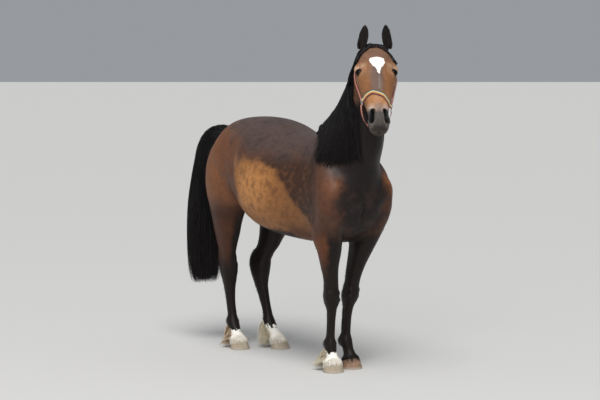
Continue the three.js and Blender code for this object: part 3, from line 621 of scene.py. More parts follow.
def markings_and_painted_light(p):
    """Coat colour with painted sheen, highlights and shade; white of the star and socks (distance inside its edge, mm)
    and bare skin.
    """
    wide, fine, speck = mottle(p, 95), mottle(p, 30, 2), mottle(p, 9, 5)
    marble = 38 * wide + 26 * fine + 10 * speck
    x, y, z = np.abs(p[:, 0]), p[:, 1], p[:, 2]
    colour = np.tile((0.088, 0.038, 0.022), (len(p), 1))
    # haunch and thigh: red brown with darker dapples, and a painted highlight along the fold at the flank
    colour = blend(colour, (0.140, 0.056, 0.027), smooth(y + 0.4 * marble, 210, 290))
    colour = blend(colour, (0.205, 0.082, 0.034), 0.8 * spot(p, (215, 620, 1040), (80, 110, 210), .7))
    colour = blend(colour, (0.058, 0.027, 0.017), 0.7 * smooth(marble, 4, 30) * smooth(y, 250, 330) * smooth(z, 1100, 1220))
    colour = blend(colour, (0.085, 0.037, 0.022), 0.65 * spot(p + 0.5 * marble[:, None], (240, 350, 960), (70, 60, 120), .7))
    colour = blend(colour, (0.046, 0.019, 0.011), smooth(-z + 0.5 * marble, -900, -750) * smooth(y, 250, 330))
    # gold of the barrel, edged in marbling against the dark girth and back
    ahead = np.interp(z, [740, 790, 850, 915, 993, 1068, 1115], [-450, -385, -300, -245, -195, -95, 20])
    behind = np.interp(z, [780, 842, 900, 965, 1030, 1100], [235, 232, 214, 224, 246, 278])
    gold = smooth(y - ahead + 1.2 * marble, -40, 40) * smooth(behind - y + 0.8 * marble, -40, 34)
    gold = gold * smooth(1098 - z + 0.06 * y + 1.1 * marble, -60, 50) * smooth(z + 0.3 * marble, 706, 738)
    colour = blend(colour, (0.235, 0.098, 0.034), gold)
    colour = blend(colour, (0.46, 0.205, 0.066), gold * (0.25 + 0.7 * spot(p, (270, 90, 960), (120, 150, 130), .7)))
    colour = blend(colour, (0.120, 0.050, 0.022), gold * 0.6 * smooth(fine + speck * 0.6, 0.0, 0.6))
    colour = blend(colour, (0.150, 0.060, 0.024), 0.5 * gold * smooth(-y + marble, 20, 200))
    dark = smooth(ahead - y - marble, -30, 30) * smooth(y + 0.3 * marble, -520, -440) * smooth(z + marble, 740, 830)
    colour = blend(colour, (0.038, 0.019, 0.012), 0.9 * dark * smooth(1130 - z + marble, -60, 40))
    colour = blend(colour, (0.110, 0.046, 0.021), 0.6 * dark * smooth(speck + 0.9 * fine, 0.10, 0.50) * smooth(1090 - z, -60, 30))
    # painted highlight: pale tan along the fold at the flank
    line, _ = line_distance(np.stack([x, y, z], 1), [(256, 288, 1110), (262, 250, 1030), (262, 226, 965), (250, 214, 900), (222, 232, 842)])
    colour = blend(colour, (0.30, 0.155, 0.080), 0.55 * np.exp(-(line / 14) ** 2))
    # painted grey sheen over the back and croup, broken by the coat's darker marbling; painted shade, black brown,
    # under the belly
    level = np.interp(y, [120, 330, 520], [1138, 1225, 1290])
    top = smooth(z + 0.8 * marble - level, -60, 60) * smooth(y, -470, -380) * smooth(-y, -700, -560)
    # painted sheen, grey, over the back and croup; the darker marbling laid over it is the coat's own
    colour = blend(colour, (0.070, 0.048, 0.043), 0.85 * top)
    colour = blend(colour, (0.032, 0.021, 0.018), 0.75 * top * smooth(marble, 0, 34))
    # painted shade: the underside of the belly darkened to black brown
    underline = np.interp(y, [row[0] for row in trunk_rows], [row[2] for row in trunk_rows])
    colour = blend(colour, (0.014, 0.007, 0.005), smooth(underline - z + 0.3 * marble, -74, -34)
                   * smooth(-x, -262, -190) * smooth(y, -520, -440) * smooth(-y, -430, -330))
    # shoulder: a red streak and an orange patch on brown, black down the front of the chest
    arm = smooth(-y + 1.2 * marble, 405, 505) * smooth(z, 700, 780)
    near_side = 0.4 + 0.6 * smooth(p[:, 0], -60, 60)
    colour = blend(colour, (0.078, 0.036, 0.023), arm)
    colour = blend(colour, (0.150, 0.058, 0.026), 0.75 * near_side * spot(p + 0.8 * marble[:, None], (205, -520, 980), (60, 40, 150), .8))
    colour = blend(colour, (0.33, 0.115, 0.038), 0.85 * near_side * spot(p + 0.5 * marble[:, None], (178, -592, 1000), (54, 42, 62), .7))
    colour = blend(colour, (0.110, 0.031, 0.012), 0.75 * near_side * spot(p, (188, -575, 895), (60, 52, 46), .7))
    # painted sheen: the grey of the back carried onto the top of the shoulder
    colour = blend(colour, (0.070, 0.046, 0.040), 0.7 * spot(p, (150, -560, 1115), (70, 90, 52), .5))
    front = smooth(0.9 * (-y - 588) - 0.62 * (x - 122) + 1.3 * marble, -44, 50) * smooth(-y, 420, 520)
    colour = blend(colour, (0.0150, 0.0105, 0.0100), front)
    colour = blend(colour, (0.048, 0.028, 0.022), 0.45 * front * smooth(marble, 4, 34) * smooth(1060 - z, -60, 60))
    colour = blend(colour, (0.100, 0.044, 0.028), 0.5 * spot(p, (196, -560, 1020), (26, 50, 110), .5))
    neck = smooth(z - 0.30 * (y + 560) + 0.5 * marble, 1065, 1150) * smooth(-y, 300, 400)
    colour = blend(colour, (0.0125, 0.009, 0.008), neck)
    for name, limb in limbs.items():
        fore = limb[1] is fore_rows
        mine = (p[:, 0] * limb[0] > 0) & (z < 900) & ((y < -150) if fore else (y > 250))
        q = unstand(limb, p)
        out = q[:, 0] - stations(limb[1][::-1])(np.clip(z, 0, 1200))[3]
        if fore:
            black = smooth(-z + 0.4 * marble, -800, -690)
            red = smooth(out - 0.35 * (-400 - q[:, 1]) + 0.4 * marble, -6, 26) * smooth(z, 470, 700)
            tone = (0.150, 0.050, 0.019)
        else:
            black = smooth(-z + 0.4 * marble, -860, -700)
            red = smooth(out + 0.3 * marble, -4, 30) * smooth(z, 430, 600)
            tone = (0.080, 0.028, 0.014)
        colour[mine] = blend(colour[mine], (0.0105, 0.0070, 0.0058), black[mine])
        colour[mine] = blend(colour[mine], tone, (0.85 * red * black)[mine])
    white = np.full(len(p), -40.0)
    socks = {"fore_right": (104, 4, 26), "hind_right": (106, 6, 26), "hind_left": (122, 62, 34)}
    for name, (level, back_rise, ragged) in socks.items():
        limb = limbs[name]
        mine = (p[:, 0] * limb[0] > 0) & (z < 420) & ((y < -150) if limb[1] is fore_rows else (y > 250))
        q = unstand(limb, p[mine])
        middle = -400 if limb[1] is fore_rows else 590
        back = smooth(q[:, 1], middle, middle + 34)
        white[mine] = level + back_rise * back + ragged * mottle(q * (1, 1, 0.35), 9, 9) - q[:, 2]
    h = carry(head_frame.inverted(), p)
    on = smooth(h[:, 1], -70, 30) * smooth(-np.abs(h[:, 0]), -150, -125) * smooth(h[:, 2], -262, -236)
    hx, hy, hz = np.abs(h[:, 0]), h[:, 1], h[:, 2]
    face = np.tile((0.225, 0.100, 0.042), (len(p), 1))
    face = blend(face, (0.175, 0.092, 0.058), smooth(-hy, -150, -80))
    face = blend(face, (0.098, 0.060, 0.050), 0.85 * smooth(-hx + 9 * fine + 5 * speck, -50, -14) * smooth(hy, 70, 150) * smooth(-hy, -320, -285))
    face = blend(face, (0.40, 0.185, 0.080), 0.8 * smooth(hy, 305, 335) * smooth(-hx, -66, -40) * smooth(hz, -80, -30))
    face = blend(face, (0.46, 0.335, 0.26), 0.9 * smooth(hy, 352, 392) * smooth(hz, -76, -30) * smooth(hx + 5 * speck, 14, 34))
    face = blend(face, (0.190, 0.140, 0.115), 0.8 * smooth(hy, 352, 392) * smooth(-hx, -30, -10))
    grey = smooth(hy + 0.45 * (-24 - hz) + 0.12 * hx + 7 * wide + 4 * speck, 394, 424)
    face = blend(face, (0.058, 0.049, 0.040), grey)
    face = blend(face, (0.030, 0.024, 0.022), grey * smooth(hy + 6 * speck, 486, 504))
    face = blend(face, (0.150, 0.120, 0.105), 0.7 * grey * spot(h, (40, 490, -44), (13, 9, 20), .8))
    face = blend(face, (0.105, 0.062, 0.045), 0.6 * grey * spot(h + 5 * speck[:, None], (22, 500, -62), (22, 10, 12), .8))
    face = blend(face, (0.105, 0.050, 0.028), smooth(-hz + 10 * wide, 96, 140) * (1 - grey))
    face = blend(face, (0.012, 0.009, 0.008), smooth(-hy, -26, 12) + smooth(-hy, -56, -38) * smooth(hx, 36, 46))
    near_eye = np.minimum(on_eye(h, 1)[0], on_eye(h, -1)[0])
    # painted highlights: pale tan over the brow ridges above each eye
    above = smooth(150 - hy + 0.35 * (hx - 80), -14, 8)
    face = blend(face, (0.42, 0.26, 0.165), 0.9 * np.exp(-(np.maximum(near_eye - 14, 8 - near_eye) / 8).clip(0) ** 2) * above * (near_eye < 59))
    face = blend(face, (0.42, 0.26, 0.165), 0.75 * spot(h, (78, 138, 2), (24, 15, 24), .7))
    face = blend(face, (0.34, 0.185, 0.105), 0.5 * np.exp(-((near_eye - 14) / 7) ** 2) * (1 - above))
    face = blend(face, (0.010, 0.008, 0.007), smooth(-near_eye, -6, -2.5))
    nose, _ = nostril_distance(h)
    face = blend(face, (0.34, 0.29, 0.265), 0.6 * np.exp(-((nose - 21) / 4) ** 2) * smooth(-hy, -430, -405))
    face = blend(face, (0.16, 0.14, 0.13), 0.6 * np.exp(-((nose - 19) / 3) ** 2) * smooth(hy, 462, 478))
    # inside the nostrils: dark skin painted almost black, as shade in the openings
    shallow = np.array((1, 1, 0.3))
    inside = np.minimum(*[line_distance(h * shallow, path * shallow)[0] for path in nostril_paths])
    face = blend(face, (0.003, 0.0025, 0.0025), smooth(-inside, -15.5, -12.5) * smooth(hz, -80, -66))
    # painted shade in the crease between the lips, and painted highlights on the lips either side of it at the front
    lip = line_distance(h, mouth)[0]
    face = blend(face, (0.012, 0.009, 0.008), np.exp(-(lip / 5.5) ** 2) * smooth(hy, 415, 440))
    face = blend(face, (0.085, 0.066, 0.052), 0.5 * np.exp(-((lip - 12) / 5) ** 2) * smooth(hy, 480, 500))
    colour = colour * (1 - on[:, None]) + face * on[:, None]
    half = np.interp(hy, [98, 104, 112, 128, 142, 153, 164, 178, 202, 212], [-10, 30, 37, 39, 35, 28, 17, 10, 3, -6])
    star = half - np.abs(h[:, 0] + 2 + 0.085 * (hy - 105)) + 5 * mottle(h, 9, 4)
    white = np.where((on > 0.5) & (hy < 300) & (hz > -40), star, white)
    snip = 0.25 * np.exp(-((h[:, 0] + 10) / 5) ** 2) * smooth(hy, 190, 225) * smooth(-hy, -300, -270)
    colour = blend(colour, (0.42, 0.36, 0.32), on * snip)
    bare = on * np.maximum(smooth(hy, 425, 470), smooth(-near_eye, -9, -3))
    return colour, white, bare


class Value:
    """A shader socket whose arithmetic adds Math nodes."""
    def __init__(self, tree, socket):
        self.tree, self.socket = tree, socket

    def _math(self, operation, other, swapped=False):
        node = self.tree.nodes.new("ShaderNodeMath")
        node.operation = operation
        for place, value in zip(node.inputs, (other, self) if swapped else (self, other)):
            if isinstance(value, Value):
                self.tree.links.new(value.socket, place)
            else:
                place.default_value = value
        return Value(self.tree, node.outputs[0])

    def __add__(self, other): return self._math("ADD", other)
    def __radd__(self, other): return self._math("ADD", other, True)
    def __sub__(self, other): return self._math("SUBTRACT", other)
    def __rsub__(self, other): return self._math("SUBTRACT", other, True)
    def __mul__(self, other): return self._math("MULTIPLY", other)
    def __rmul__(self, other): return self._math("MULTIPLY", other, True)
    def __truediv__(self, other): return self._math("DIVIDE", other)
    def __pow__(self, other): return self._math("POWER", other)


class Finish:
    """A material being made: add() places one node, and surface() sets the final shader."""
    def __init__(self, name):
        self.material = bpy.data.materials.new(name)
        self.material.use_nodes = True
        self.tree = self.material.node_tree
        self.tree.nodes.clear()

    def add(self, kind, settings=None, out=0, **sockets):
        node = self.tree.nodes.new("ShaderNode" + kind)
        for key, value in (settings or {}).items():
            if key == "stops":
                ramp = node.color_ramp
                while len(ramp.elements) > 1:
                    ramp.elements.remove(ramp.elements[-1])
                for i, (at, colour) in enumerate(value):
                    stop = ramp.elements[0] if i == 0 else ramp.elements.new(at)
                    stop.position, stop.color = at, (*colour, 1)
            else:
                setattr(node, key, value)
        for key, value in sockets.items():
            place = node.inputs[int(key[1:])] if key[0] == "_" and key[1:].isdigit() else node.inputs[key.replace("_", " ")]
            if isinstance(value, Value):
                self.tree.links.new(value.socket, place)
            else:
                place.default_value = value
        return Value(self.tree, node.outputs[out])

    def mix(self, share, first, second, blend_type="MIX"):
        return self.add("Mix", {"data_type": "RGBA", "blend_type": blend_type}, 2, _0=share,
                        _6=first if isinstance(first, Value) else (*first, 1),
                        _7=second if isinstance(second, Value) else (*second, 1))

    def ramp(self, value, low, high):
        return self.add("MapRange", {"interpolation_type": "SMOOTHSTEP"}, Value=value, From_Min=low, From_Max=high)

    def place(self, scale=(1, 1, 1), turn=(0, 0, 0), source="Object"):
        where = self.add("TexCoord", out={"Object": 3, "UV": 2}[source])
        return self.add("Mapping", Vector=where, Scale=scale, Rotation=turn)

    def grain(self, where, scale, detail=2.0, out=0):
        return self.add("TexNoise", None, out, Vector=where, Scale=scale, Detail=detail)

    def surface(self, **sockets):
        shader = self.add("BsdfPrincipled", **sockets)
        out = self.tree.nodes.new("ShaderNodeOutputMaterial")
        self.tree.links.new(shader.socket, out.inputs[0])
        return self.material


def store(mesh, name, kind, value, domain="POINT"):
    attribute = mesh.attributes.new(name, kind, domain)
    key = {"FLOAT": "value", "FLOAT_COLOR": "color", "FLOAT2": "vector"}[kind]
    attribute.data.foreach_set(key, np.asarray(value, np.float32).ravel())


def store_markings_and_painted_light(mesh, colour, white, bare):
    store(mesh, "coat_and_painted_light", "FLOAT_COLOR", np.hstack([colour, np.ones((len(colour), 1))]))
    store(mesh, "white", "FLOAT", white)
    store(mesh, "bare", "FLOAT", bare)


hide = Finish("short_bay_coat")
# the coat colour read here holds the painted sheen, highlights and shade
coat_and_painted_light = hide.add("Attribute", {"attribute_name": "coat_and_painted_light"})
white = hide.add("Attribute", {"attribute_name": "white"}, 2)
bare = hide.add("Attribute", {"attribute_name": "bare"}, 2)
body_hair = hide.grain(hide.place((430, 80, 300)), 1.0, 3)
limb_hair = hide.grain(hide.place((480, 480, 60)), 1.0, 3)
clumps = hide.grain(hide.place((75, 30, 62)), 1.0, 3)
dapple = hide.grain(hide.place((26, 22, 26)), 1.0, 3)
level = hide.add("SeparateXYZ", out=2, Vector=hide.place())
low = hide.ramp(level, 0.80, 0.62)
strands = body_hair * (1 - low) + limb_hair * low
shade = 0.24 + strands * 0.60 + clumps * 0.56 + dapple * 0.40
tone = hide.mix(1.0, coat_and_painted_light, hide.add("CombineXYZ", X=shade, Y=shade, Z=shade), "MULTIPLY")
edge = hide.ramp(white + (strands - 0.5) * 10.0 + (clumps - 0.5) * 9.0, -1.4, 1.4)
pale = hide.mix(clumps, (0.95, 0.92, 0.86), (0.82, 0.77, 0.68))
tone = hide.mix(edge, tone, pale)
skin_pores = hide.grain(hide.place((900, 900, 900)), 1.0, 2)
height = (strands * 0.6 + clumps * 0.5) * (1 - bare * 0.75) + skin_pores * bare * 0.3
bump = hide.add("Bump", Strength=0.30, Distance=0.0016, Height=height)
skin.data.materials.append(hide.surface(
    Base_Color=tone, Roughness=0.38 + strands * 0.16 + edge * 0.15 + bare * 0.14, Normal=bump,
    Specular_IOR_Level=0.18))
colour, white_edge, bareness = markings_and_painted_light(p)
store_markings_and_painted_light(mesh, colour, white_edge, bareness)
write(mesh, to_frame(p))
skin_points = p
mesh.polygons.foreach_set("use_smooth", np.ones(len(mesh.polygons), bool))
bpy.context.view_layer.objects.active = skin
skin.select_set(True)
bpy.ops.object.mode_set(mode="EDIT")
bpy.ops.mesh.select_all(action="SELECT")
bpy.ops.uv.smart_project(angle_limit=1.15, island_margin=0.002)
bpy.ops.object.mode_set(mode="OBJECT")
mesh = skin.data
mesh.uv_layers[0].name = "OFBake"
unwrap = np.empty(len(mesh.loops) * 2, np.float32)
mesh.uv_layers["OFBake"].data.foreach_get("uv", unwrap)
unwrap = unwrap.reshape(-1, 3, 2)


def root_place(point):
    """Where the skin's unwrap shows the place nearest to a point."""
    spot, _, face, _ = skin_tree.find_nearest(Vector(point))
    a, b, c = skin_points[triangles[face]]
    u, v, w = b - a, c - a, np.array(spot) - a
    uu, uv, vv, wu, wv = u @ u, u @ v, v @ v, w @ u, w @ v
    under = max(uu * vv - uv * uv, 1e-12)
    s, t = (vv * wu - uv * wv) / under, (uu * wv - uv * wu) / under
    return unwrap[face].T @ np.array((1 - s - t, s, t))


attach(skin, "root")
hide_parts("trunk", "neck", "head", "ear_left", "ear_right",
            "foreleg_left", "foreleg_right", "hindleg_left", "hindleg_right")

# ------------------------------------------------------------------ eyes
# Each eye is a wet ball in its socket: dark brown iris with a level pupil under a clear bulge.
# A thin dark edge of lid holds it.
eye_finish = Finish("wet_dark_eye")
seen = eye_finish.add("Attribute", {"attribute_name": "iris"}, 2)
cloud = eye_finish.grain(eye_finish.place((400, 400, 400)), 1.0, 2)
iris = eye_finish.mix(cloud, (0.012, 0.006, 0.004), (0.005, 0.003, 0.002))
iris = eye_finish.mix(eye_finish.ramp(seen, 0.42, 0.36), iris, (0.002, 0.002, 0.003))
iris = eye_finish.mix(eye_finish.ramp(seen, 0.92, 1.02), iris, (0.05, 0.035, 0.03))
eye_material = eye_finish.surface(Base_Color=iris, Roughness=0.12, Specular_IOR_Level=0.07)
for side, name in ((1, "eye_right"), (-1, "eye_left")):
    bm = bmesh.new()
    bmesh.ops.create_uvsphere(bm, u_segments=48, v_segments=32, radius=eye_radius - 0.3)
    frame_of_eye = Matrix([(*axis, 0) for axis in (eye_long, eye_up, eye_out)] + [(0, 0, 0, 1)]).transposed()
    level = [max(abs(v.co.x / 15.5), abs(v.co.y / 13.5)) if v.co.z < 0 else
             math.hypot(v.co.x / 15.5, v.co.y / 13.0) for v in bm.verts]
    pupil = [math.hypot(v.co.x / 9.5, v.co.y / 5.0) * 0.4 if v.co.z > 0 else 2 for v in bm.verts]
    for v in bm.verts:
        v.co *= 1 + 0.03 * max(0, v.co.z / eye_radius) ** 4
    bmesh.ops.transform(bm, matrix=Matrix.Diagonal((side, 1, 1, 1)) @ Matrix.Translation(eye_centre) @ frame_of_eye, verts=bm.verts)
    bmesh.ops.transform(bm, matrix=head_frame, verts=bm.verts)
    bmesh.ops.recalc_face_normals(bm, faces=bm.faces)
    eye_mesh = bpy.data.meshes.new(name + "_ball")
    for v in bm.verts:
        v.co = to_frame(v.co)
    bm.to_mesh(eye_mesh)
    bm.free()
    store(eye_mesh, "iris", "FLOAT", np.minimum(np.array(pupil), 3) * (np.array(level) < .4) + np.maximum(level, np.minimum(pupil, .6)) * (np.array(level) >= .4))
    eye_mesh.polygons.foreach_set("use_smooth", np.ones(len(eye_mesh.polygons), bool))
    ball = bpy.data.objects.new(name + "_ball", eye_mesh)
    bpy.context.scene.collection.objects.link(ball)
    eye_mesh.materials.append(eye_material)
    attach(ball, "root")
    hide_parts(name)

# ------------------------------------------------------------------ hooves
# Each hoof is a horn wall growing down from the coronet in faint rings, open below round a
# cupped sole. The three feet under socks are pale.
hoof_finish = {}
for kind, dark, light in (("pale", (0.30, 0.235, 0.165), (0.47, 0.40, 0.30)), ("dusty", (0.17, 0.095, 0.060), (0.36, 0.22, 0.145))):
    horn = Finish(kind + "_dusty_horn")
    up = horn.add("Attribute", {"attribute_name": "growth"}, 2)
    dust = horn.grain(horn.place((30, 30, 30)), 1.0, 4)
    fibre = horn.grain(horn.place((500, 500, 40)), 1.0, 3)
    rings = horn.add("Math", {"operation": "SINE"}, _0=up * 62.0 + dust * 5.0)
    tone = horn.mix(horn.ramp(dust * 0.6 + fibre * 0.5, 0.35, 0.75), dark, light)
    tone = horn.mix(horn.ramp(up + dust * 0.25, 0.34, 0.10), tone, (0.40, 0.35, 0.28))
    bump = horn.add("Bump", Strength=0.35, Distance=0.0015, Height=rings * 0.35 + fibre * 0.5)
    hoof_finish[kind] = horn.surface(Base_Color=tone, Roughness=0.62 + dust * 0.25, Normal=bump)


def coronet(y):
    """Level of the hairline at a distance behind the middle of the sole."""
    return 106 - 0.27 * (y + 200)


for name, limb in limbs.items():
    rising = limb[1][::-1]
    size = stations(rising)
    sole_front, sole_back, _, sole_x, _ = size(0)
    sole_middle = (sole_front + sole_back) / 2

    def hoof_form(share, angle, reach):
        z = 50 * np.ones(len(share))
        for _ in range(8):
            front, back, half, x, fullness = size(z)
            fore, out = rounded(angle, fullness, fullness)
            y = (front + back) / 2 - fore * (back - front) / 2
            z = coronet(y - sole_middle)
        level = share * (z + 1.5)
        front, back, half, x, fullness = size(level)
        fore, out = rounded(angle, fullness, fullness)
        grow = -0.6 - 2.0 * smooth(share, 0.93, 1.0) - 1.2 * smooth(-share, -0.04, 0)
        y = (front + back) / 2 - fore * ((back - front) / 2 + grow)
        out = out * (half + grow)
        inner = np.where(share > 0.5, 0.55, 0.0)
        away = np.where(reach > 0, 1, inner)
        y = sole_middle + (y - sole_middle) * away
        return stand(limb, np.stack([x + out * away, y, level - 2 * (1 - reach) * (share > .5)], 1))

    bm = bmesh.new()
    loft(bm, 64, 36, hoof_form)
    bmesh.ops.recalc_face_normals(bm, faces=bm.faces)
    under = [f for f in bm.faces if all(v.co.z < 0.02 for v in f.verts)]
    cup = bmesh.ops.inset_region(bm, faces=under, thickness=9, use_even_offset=True)
    for v in {v for f in under for v in f.verts}:
        v.co.z += 5
    hoof_mesh = bpy.data.meshes.new("hoof_" + name)
    bm.to_mesh(hoof_mesh)
    bm.free()
    q = read(hoof_mesh)
    growth = q[:, 2] / 86
    write(hoof_mesh, to_frame(q))
    store(hoof_mesh, "growth", "FLOAT", growth)
    hoof_mesh.polygons.foreach_set("use_smooth", np.ones(len(hoof_mesh.polygons), bool))
    hoof_mesh.materials.append(hoof_finish["dusty" if name == "fore_left" else "pale"])
    hoof = bpy.data.objects.new("hoof_" + name, hoof_mesh)
    bpy.context.scene.collection.objects.link(hoof)
    limb_kind, which = name.split("_")
    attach(hoof, "root")
    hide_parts(f"{limb_kind}hoof_{which}")

# ------------------------------------------------------------------ mane
# The mane is coarse black hair rooted along the crest from poll to withers. It falls down the
# right of the neck in long overlapping locks, over a dense under-layer that hides the neck.
def lock_body(rings, sides=3):
    """One lock, straight and of width 1: a closed tube whose rings are bent along a path."""
    bm = bmesh.new()
    bmesh.ops.create_cone(bm, cap_ends=True, segments=sides, radius1=1, radius2=1, depth=1)
    bmesh.ops.translate(bm, vec=(0, 0, 0.5), verts=bm.verts)
    for i in range(1, rings - 1):
        whole = list(bm.verts) + list(bm.edges) + list(bm.faces)
        bmesh.ops.bisect_plane(bm, geom=whole, plane_co=(0, 0, i / (rings - 1)), plane_no=(0, 0, 1))
    bmesh.ops.triangulate(bm, faces=bm.faces)
    bmesh.ops.recalc_face_normals(bm, faces=bm.faces)
    corner = np.array([v.co for v in bm.verts])
    faces = np.array([[v.index for v in f.verts] for f in bm.faces])
    bm.free()
    return corner, faces


def make_locks(name, path, outward, width, thick, profile, finish, roots, sides=3, patch=0.003):
    """Joins locks into one piece. path and outward are (locks, rings, 3) in pony millimetres."""
    count, rings = path.shape[:2]
    corner, faces = lock_body(rings, sides)
    ring = np.round(corner[:, 2] * (rings - 1)).astype(int)
    way = np.gradient(path, axis=1)
    way /= np.maximum(np.linalg.norm(way, axis=2, keepdims=True), 1e-9)
    across = np.cross(way, outward)
    across /= np.maximum(np.linalg.norm(across, axis=2, keepdims=True), 1e-9)
    out = np.cross(across, way)
    taper = profile(np.linspace(0, 1, rings))[ring][None, :, None]
    p = (path[:, ring] + across[:, ring] * (corner[:, 0][None, :, None] * width[:, None, None] / 2) * taper
         + out[:, ring] * (corner[:, 1][None, :, None] * thick[:, None, None] / 2) * taper)
    lock_mesh = bpy.data.meshes.new(name)
    all_faces = (faces[None] + (np.arange(count) * len(corner))[:, None, None]).reshape(-1, 3)
    lock_mesh.from_pydata(to_frame(p.reshape(-1, 3)), [], all_faces)
    lock_mesh.polygons.foreach_set("use_smooth", np.ones(len(lock_mesh.polygons), bool))
    corners = all_faces.ravel() % len(corner)
    own = all_faces.ravel() // len(corner)
    tone = rng.random(count)
    along = np.linalg.norm(np.diff(path, axis=1), axis=2).sum(1)
    store(lock_mesh, "lock", "FLOAT2", np.stack([
        corner[corners, 0] * 0.5 * width[own] / 8 + tone[own] * 37, corner[corners, 2] * along[own] / 300], 1), "CORNER")
    store(lock_mesh, "tone", "FLOAT", np.repeat(tone, len(corner)))
    store(lock_mesh, "along", "FLOAT", np.tile(corner[:, 2], count))
    centre = np.array([root_place(r) for r in roots])[own]
    bake = lock_mesh.uv_layers.new(name="OFBake")
    bake.data.foreach_set("uv", (centre + np.stack([
        corner[corners, 0] * patch / 2, (corner[corners, 2] - 0.5) * patch], 1)).astype(np.float32).ravel())
    lock_mesh.materials.append(finish)
    piece = bpy.data.objects.new(name, lock_mesh)
    bpy.context.scene.collection.objects.link(piece)
    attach(piece, "root")
    return piece


def hair_finish(name, root, tip, light, rough=0.42, faded=0.0):
    hair = Finish(name)
    where = hair.add("Attribute", {"attribute_name": "lock"}, 1)
    fine = hair.grain(hair.add("Mapping", Vector=where, Scale=(9, 1.4, 1)), 1.0, 3)
    tone = hair.add("Attribute", {"attribute_name": "tone"}, 2)
    along = hair.add("Attribute", {"attribute_name": "along"}, 2)
    base = hair.mix(hair.ramp(along, 0.35, 1.0), root, tip)
    base = hair.mix(hair.ramp(fine * 0.7 + tone * 0.5, 0.45, 0.95), base, light)
    bump = hair.add("Bump", Strength=0.5, Distance=0.0012, Height=fine)
    return hair.surface(Base_Color=base, Roughness=rough + fine * 0.18, Specular_IOR_Level=0.25, Normal=bump)


black_hair = hair_finish("long_black_hair", (0.0048, 0.0042, 0.0045), (0.011, 0.0078, 0.0068), (0.016, 0.014, 0.0155), 0.40)


def solid_tree(*names):
    """The CAD solids as one tree to be searched, in pony millimetres."""
    corners, faces = [], []
    for name in names:
        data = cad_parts[name].data
        data.calc_loop_triangles()
        base = len(corners)
        corners += [tuple(c) for c in to_pony(np.array([v.co for v in data.vertices]))]
        faces += [[base + i for i in t.vertices] for t in data.loop_triangles]
    return BVHTree.FromPolygons(corners, faces)


def underlayer(name, node, shrink, finish, divide=2):
    """The dense hair under the locks: the solid's shape, rounded off and drawn in a little."""
    bm = bmesh.new()
    bm.from_mesh(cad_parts[node].data)
    bmesh.ops.remove_doubles(bm, verts=bm.verts, dist=1e-5)
    for _ in range(divide):
        bmesh.ops.subdivide_edges(bm, edges=[e for e in bm.edges if e.calc_length() > 0.018], cuts=1, use_grid_fill=True)
        bmesh.ops.triangulate(bm, faces=bm.faces)
    for _ in range(4):
        bmesh.ops.smooth_vert(bm, verts=bm.verts, factor=0.5, use_axis_x=True, use_axis_y=True, use_axis_z=True)
    bm.normal_update()
    for v, away in [(v, v.normal.copy()) for v in bm.verts]:
        v.co -= away * shrink * mm
    core_mesh = bpy.data.meshes.new(name)
    bm.to_mesh(core_mesh)
    bm.free()
    core_mesh.polygons.foreach_set("use_smooth", np.ones(len(core_mesh.polygons), bool))
    core_mesh.materials.append(finish)
    core = bpy.data.objects.new(name, core_mesh)
    bpy.context.scene.collection.objects.link(core)
    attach(core, "root")
    return core


under_hair = Finish("dense_black_hair")
fine = under_hair.grain(under_hair.place((160, 160, 9)), 1.0, 4)
under_tone = under_hair.mix(fine, (0.004, 0.0035, 0.004), (0.012, 0.010, 0.010))
under_bump = under_hair.add("Bump", Strength=0.7, Distance=0.003, Height=fine)
dense_hair = under_hair.surface(Base_Color=under_tone, Roughness=0.5 + fine * 0.2, Specular_IOR_Level=0.2, Normal=under_bump)

crest_y = [-798, -737, -672, -595, -505, -410, -315, -250]
crest_z = [1736, 1718, 1666, 1586, 1477, 1380, 1316, 1282]
mane_top = [1756, 1747, 1703, 1655, 1590, 1490, 1405, 1345]
mane_edge_y, mane_edge_z = [-700, -600, -530, -462, -405, -345, -288, -250], [1116, 1100, 1096, 1106, 1180, 1247, 1300, 1346]
mane_tree = solid_tree("mane")


def mane_locks(count, rings, spread, width, layer):
    path, outward, roots = [], [], []
    for i in range(count):
        y = -796 + 540 * ((i + rng.random()) / count) ** 1.05
        root = np.array([-4.0 + 8 * rng.random(), y, np.interp(y, crest_y, crest_z)])
        lift = (np.interp(y, crest_y, mane_top) - root[2] - 5) * (0.45 + 0.5 * rng.random())
        end_y = y + rng.normal(0, 16) + 26 * smooth(np.array([-y]), 560, 760)[0]
        end_y = min(max(end_y, -690), -262)
        bottom = np.interp(end_y, mane_edge_y, mane_edge_z) + abs(rng.normal(0, spread)) + 110 * rng.random() ** 5
        depth = layer[0] + (layer[1] - layer[0]) * rng.random() ** 1.5
        if layer[0] < 0:
            depth -= rng.random() ** 2 * (6 + 14 * smooth(np.array([-y]), 640, 740)[0])
        wave, beat = rng.normal(0, 4), rng.uniform(5, 9)
        line, away = [], []
        for k in range(rings):
            t = k / (rings - 1)
            if t < 0.09:
                at = root + (-5 * t / 0.09, 0, lift * t / 0.09)
                line.append(at)
                away.append((-0.3, 0, 1))
                continue
            fall = (t - 0.09) / 0.91
            z = root[2] + lift + (bottom - root[2] - lift) * fall
            yy = y + (end_y - y) * smooth(np.array([fall]), 0, 1)[0] + wave * math.sin(beat * fall + i)
            hit, face_normal, _, _ = mane_tree.ray_cast(Vector((-520, yy, z)), Vector((1, 0, 0)))
            if hit is None:
                hit, face_normal, _, _ = mane_tree.find_nearest(Vector((-200, yy, z)))
            inward = depth * min(1, fall * 6)
            line.append(np.array(hit) - np.array(face_normal) * inward)
            away.append(tuple(face_normal))
        path.append(line)
        outward.append(away)
        roots.append(root)
    path = np.array(path, float)
    for _ in range(3):
        path[:, 1:-1] = path[:, 1:-1] * 0.5 + (path[:, :-2] + path[:, 2:]) * 0.25
    return path, np.array(outward, float), np.full(count, 1.0) * rng.uniform(*width, count), roots


